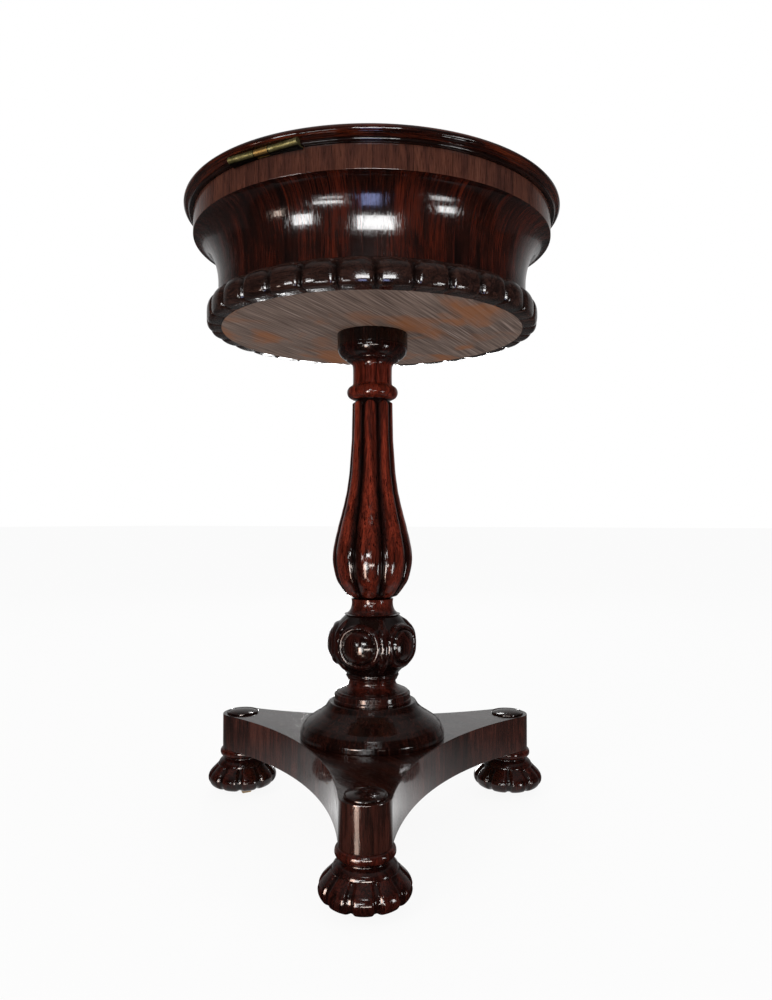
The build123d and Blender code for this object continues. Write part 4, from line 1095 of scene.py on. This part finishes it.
# Painted light: to a mirrored ray the floor glows, white behind the object and round the column's foot,
# and dim towards the camera.
behind = along_view(tree, place, [(0.49, "#ffffff"), (0.55, "#202020"), (0.8, "#181818")])
away = add_node(tree, "VectorMath", {0: place}, "Value", operation="LENGTH")
painted_glow = ramped(tree, graded(tree, away, 0.0, painted_glow_radius), painted_glow_stops)
far = worked_out(tree, "MINIMUM", behind, painted_glow)
strength = add_node(tree, "Mix", {0: mirrored, 2: 1.0, 3: far}, data_type="FLOAT")
glow = add_node(tree, "Emission", {"Color": (1, 1, 1, 1), "Strength": strength})
share = worked_out(tree, "MULTIPLY_ADD", seen, floor_glow, mirrored)
mixed = add_node(tree, "MixShader", {0: share, 1: shader.outputs[0], 2: glow})
feed(tree, tree.nodes["Material Output"], {"Surface": mixed})
paper.cycles.emission_sampling = "NONE"
mesh.materials.append(paper)
print("floor", 2 * floor_half, "m wide")

# %% Room
top_level, fill_level = 0.35, 0.6
world = bpy.data.worlds.new("studio_room")
bpy.context.scene.world = world
world.use_nodes = True
tree = world.node_tree
heading = add_node(tree, "TexCoord", output="Generated")
around = along_view(
    tree, heading, [(0.0, "#d0d0d0"), (0.1, "#a0a0a0"), (0.3, "#2c2c2c"), (0.6, "#202020")]
)
up = add_node(tree, "SeparateXYZ", {0: heading}, 2)
room = worked_out(tree, "MAXIMUM", around, graded(tree, up, 0.55, 0.9, 0.0, top_level))
seen, mirrored = seen_rays(tree)
level = add_node(tree, "Mix", {0: mirrored, 2: fill_level, 3: room}, data_type="FLOAT")
level = add_node(tree, "Mix", {0: seen, 2: level, 3: 1.0}, data_type="FLOAT")
feed(tree, tree.nodes["Background"], {"Color": (1, 1, 1, 1), "Strength": level})
print("room", len(tree.nodes), "nodes")

# %% Lamps and cards
# The cards for the box light only the box, and those for the pillar only the pillar and the base, so
# that each highlight can be set by itself. Each lamp or card: its bearing from the camera's side in
# degrees, its distance and height, its width and length, the height that it looks at, all in m, its
# brightness, and its colour where that isn't white.
large_lamps = [
    (-38, 2.2, 1.5, 1.3, 1.2, 0.5, 4.4, "#fffaf4"), (62, 2.4, 1.1, 1.2, 1.2, 0.45, 2.6, "#f6f8ff"),
    (180, 2.4, 1.7, 1.6, 1.2, 0.45, 2.0),
]
box_cards = [
    (-44.5, 1.8, 0.62, 0.40, 0.30, 0.68, 26), (-61, 1.6, 0.40, 0.16, 0.16, 0.68, 14, "#ffe8d8"),
    (2, 1.8, 0.79, 0.74, 0.40, 0.68, 28), (47, 1.6, 0.31, 0.32, 0.20, 0.68, 24),
    (-27, 1.15, 0.32, 0.36, 0.07, 0.68, 24), (-26, 1.15, 0.17, 0.3, 0.07, 0.68, 12),
    (-1, 1.15, 0.25, 0.22, 0.34, 0.68, 9, "#b4c2ff"), (43, 1.0, 0.2, 0.22, 0.12, 0.68, 14),
    (175, 1.8, 0.78, 0.7, 0.26, 0.68, 20), (188, 1.4, 0.34, 0.3, 0.12, 0.68, 16),
]
pillar_cards = [
    (-10, 1.5, 0.46, 0.42, 0.1, 0.35, 44), (4, 1.05, 0.012, 0.5, 0.12, 0.35, 36, "#fff0e6"),
    (-14, 0.345, 0.036, 0.045, 0.07, 0.085, 9, "#ffe2d0"), (-38, 1.4, 0.36, 0.16, 0.12, 0.3, 30),
    (-21, 0.75, 0.012, 0.17, 0.44, 0.3, 26), (51, 0.69, 0.012, 0.08, 0.3, 0.3, 28),
    (-26, 0.5, 0.01, 0.08, 0.4, 0.25, 34, "#ffd9c4"), (0, 1.6, 1.5, 0.5, 0.14, 0.6, 22),
    (176, 1.3, 1.2, 0.36, 0.14, 0.35, 34), (184, 0.8, 0.012, 0.2, 0.3, 0.3, 20),
]
pillar_names = (
    "base_platform_", "base_cap_", "plinth_", "column_", "foot_carved_", "top_collar_", "castor_",
)
unlit = (floor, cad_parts["bottom_board"])
meshes = [piece for piece in bpy.data.objects if piece.type == "MESH" and piece not in unlit]
pillar = [piece for piece in meshes if piece.name.startswith(pillar_names)]
box = [piece for piece in meshes if piece not in pillar]
for kind, table, receivers in (
    ("lamp", large_lamps, []), ("box_card", box_cards, box), ("pillar_card", pillar_cards, pillar),
):
    lit = bpy.data.collections.new(f"lit_by_{kind}")
    for piece in receivers:
        lit.objects.link(piece)
    for number, row in enumerate(table, 1):
        bearing, distance, height, width, tall, look, radiance, *colour = row
        lamp = bpy.data.lights.new(f"soft_{kind}_{number}", "AREA")
        lamp.shape, lamp.size, lamp.size_y = "RECTANGLE", width, tall
        lamp.energy = radiance * math.pi * width * tall
        lamp.color = linear(*(colour or ["#ffffff"]))[:3]
        holder = bpy.data.objects.new(f"soft_{kind}_{number}", lamp)
        turn = view_azimuth + math.radians(bearing)
        holder.location = (distance * math.cos(turn), distance * math.sin(turn), height)
        aim = Vector((0, 0, look)) - holder.location
        holder.rotation_euler = aim.to_track_quat("-Z", "Y").to_euler()
        holder.visible_camera = False
        holder.visible_diffuse, holder.visible_glossy = not receivers, bool(receivers)
        if receivers:
            holder.light_linking.receiver_collection = lit
        bpy.context.scene.collection.objects.link(holder)
print(len(box), "pieces lit as the box,", len(pillar), "as the pillar")

# %% Camera
camera_data = bpy.data.cameras.new("camera")
camera_data.lens, camera_data.sensor_width, camera_data.sensor_fit = 27.245, 36.0, "AUTO"
camera = bpy.data.objects.new("camera", camera_data)
camera.location = (-0.4717, 0.8338, 0.3745)
camera_turn, camera_rise = math.radians(298.47), 0.027
level_part = math.cos(camera_rise)
forward = Vector(
    (level_part * math.cos(camera_turn), level_part * math.sin(camera_turn), math.sin(camera_rise))
)
camera.rotation_euler = forward.to_track_quat("-Z", "Y").to_euler()
bpy.context.scene.collection.objects.link(camera)
bpy.context.scene.camera = camera
bpy.context.scene.view_settings.view_transform = "Standard"
print("camera", round(camera.location.length, 3), "m from the foot of the column")
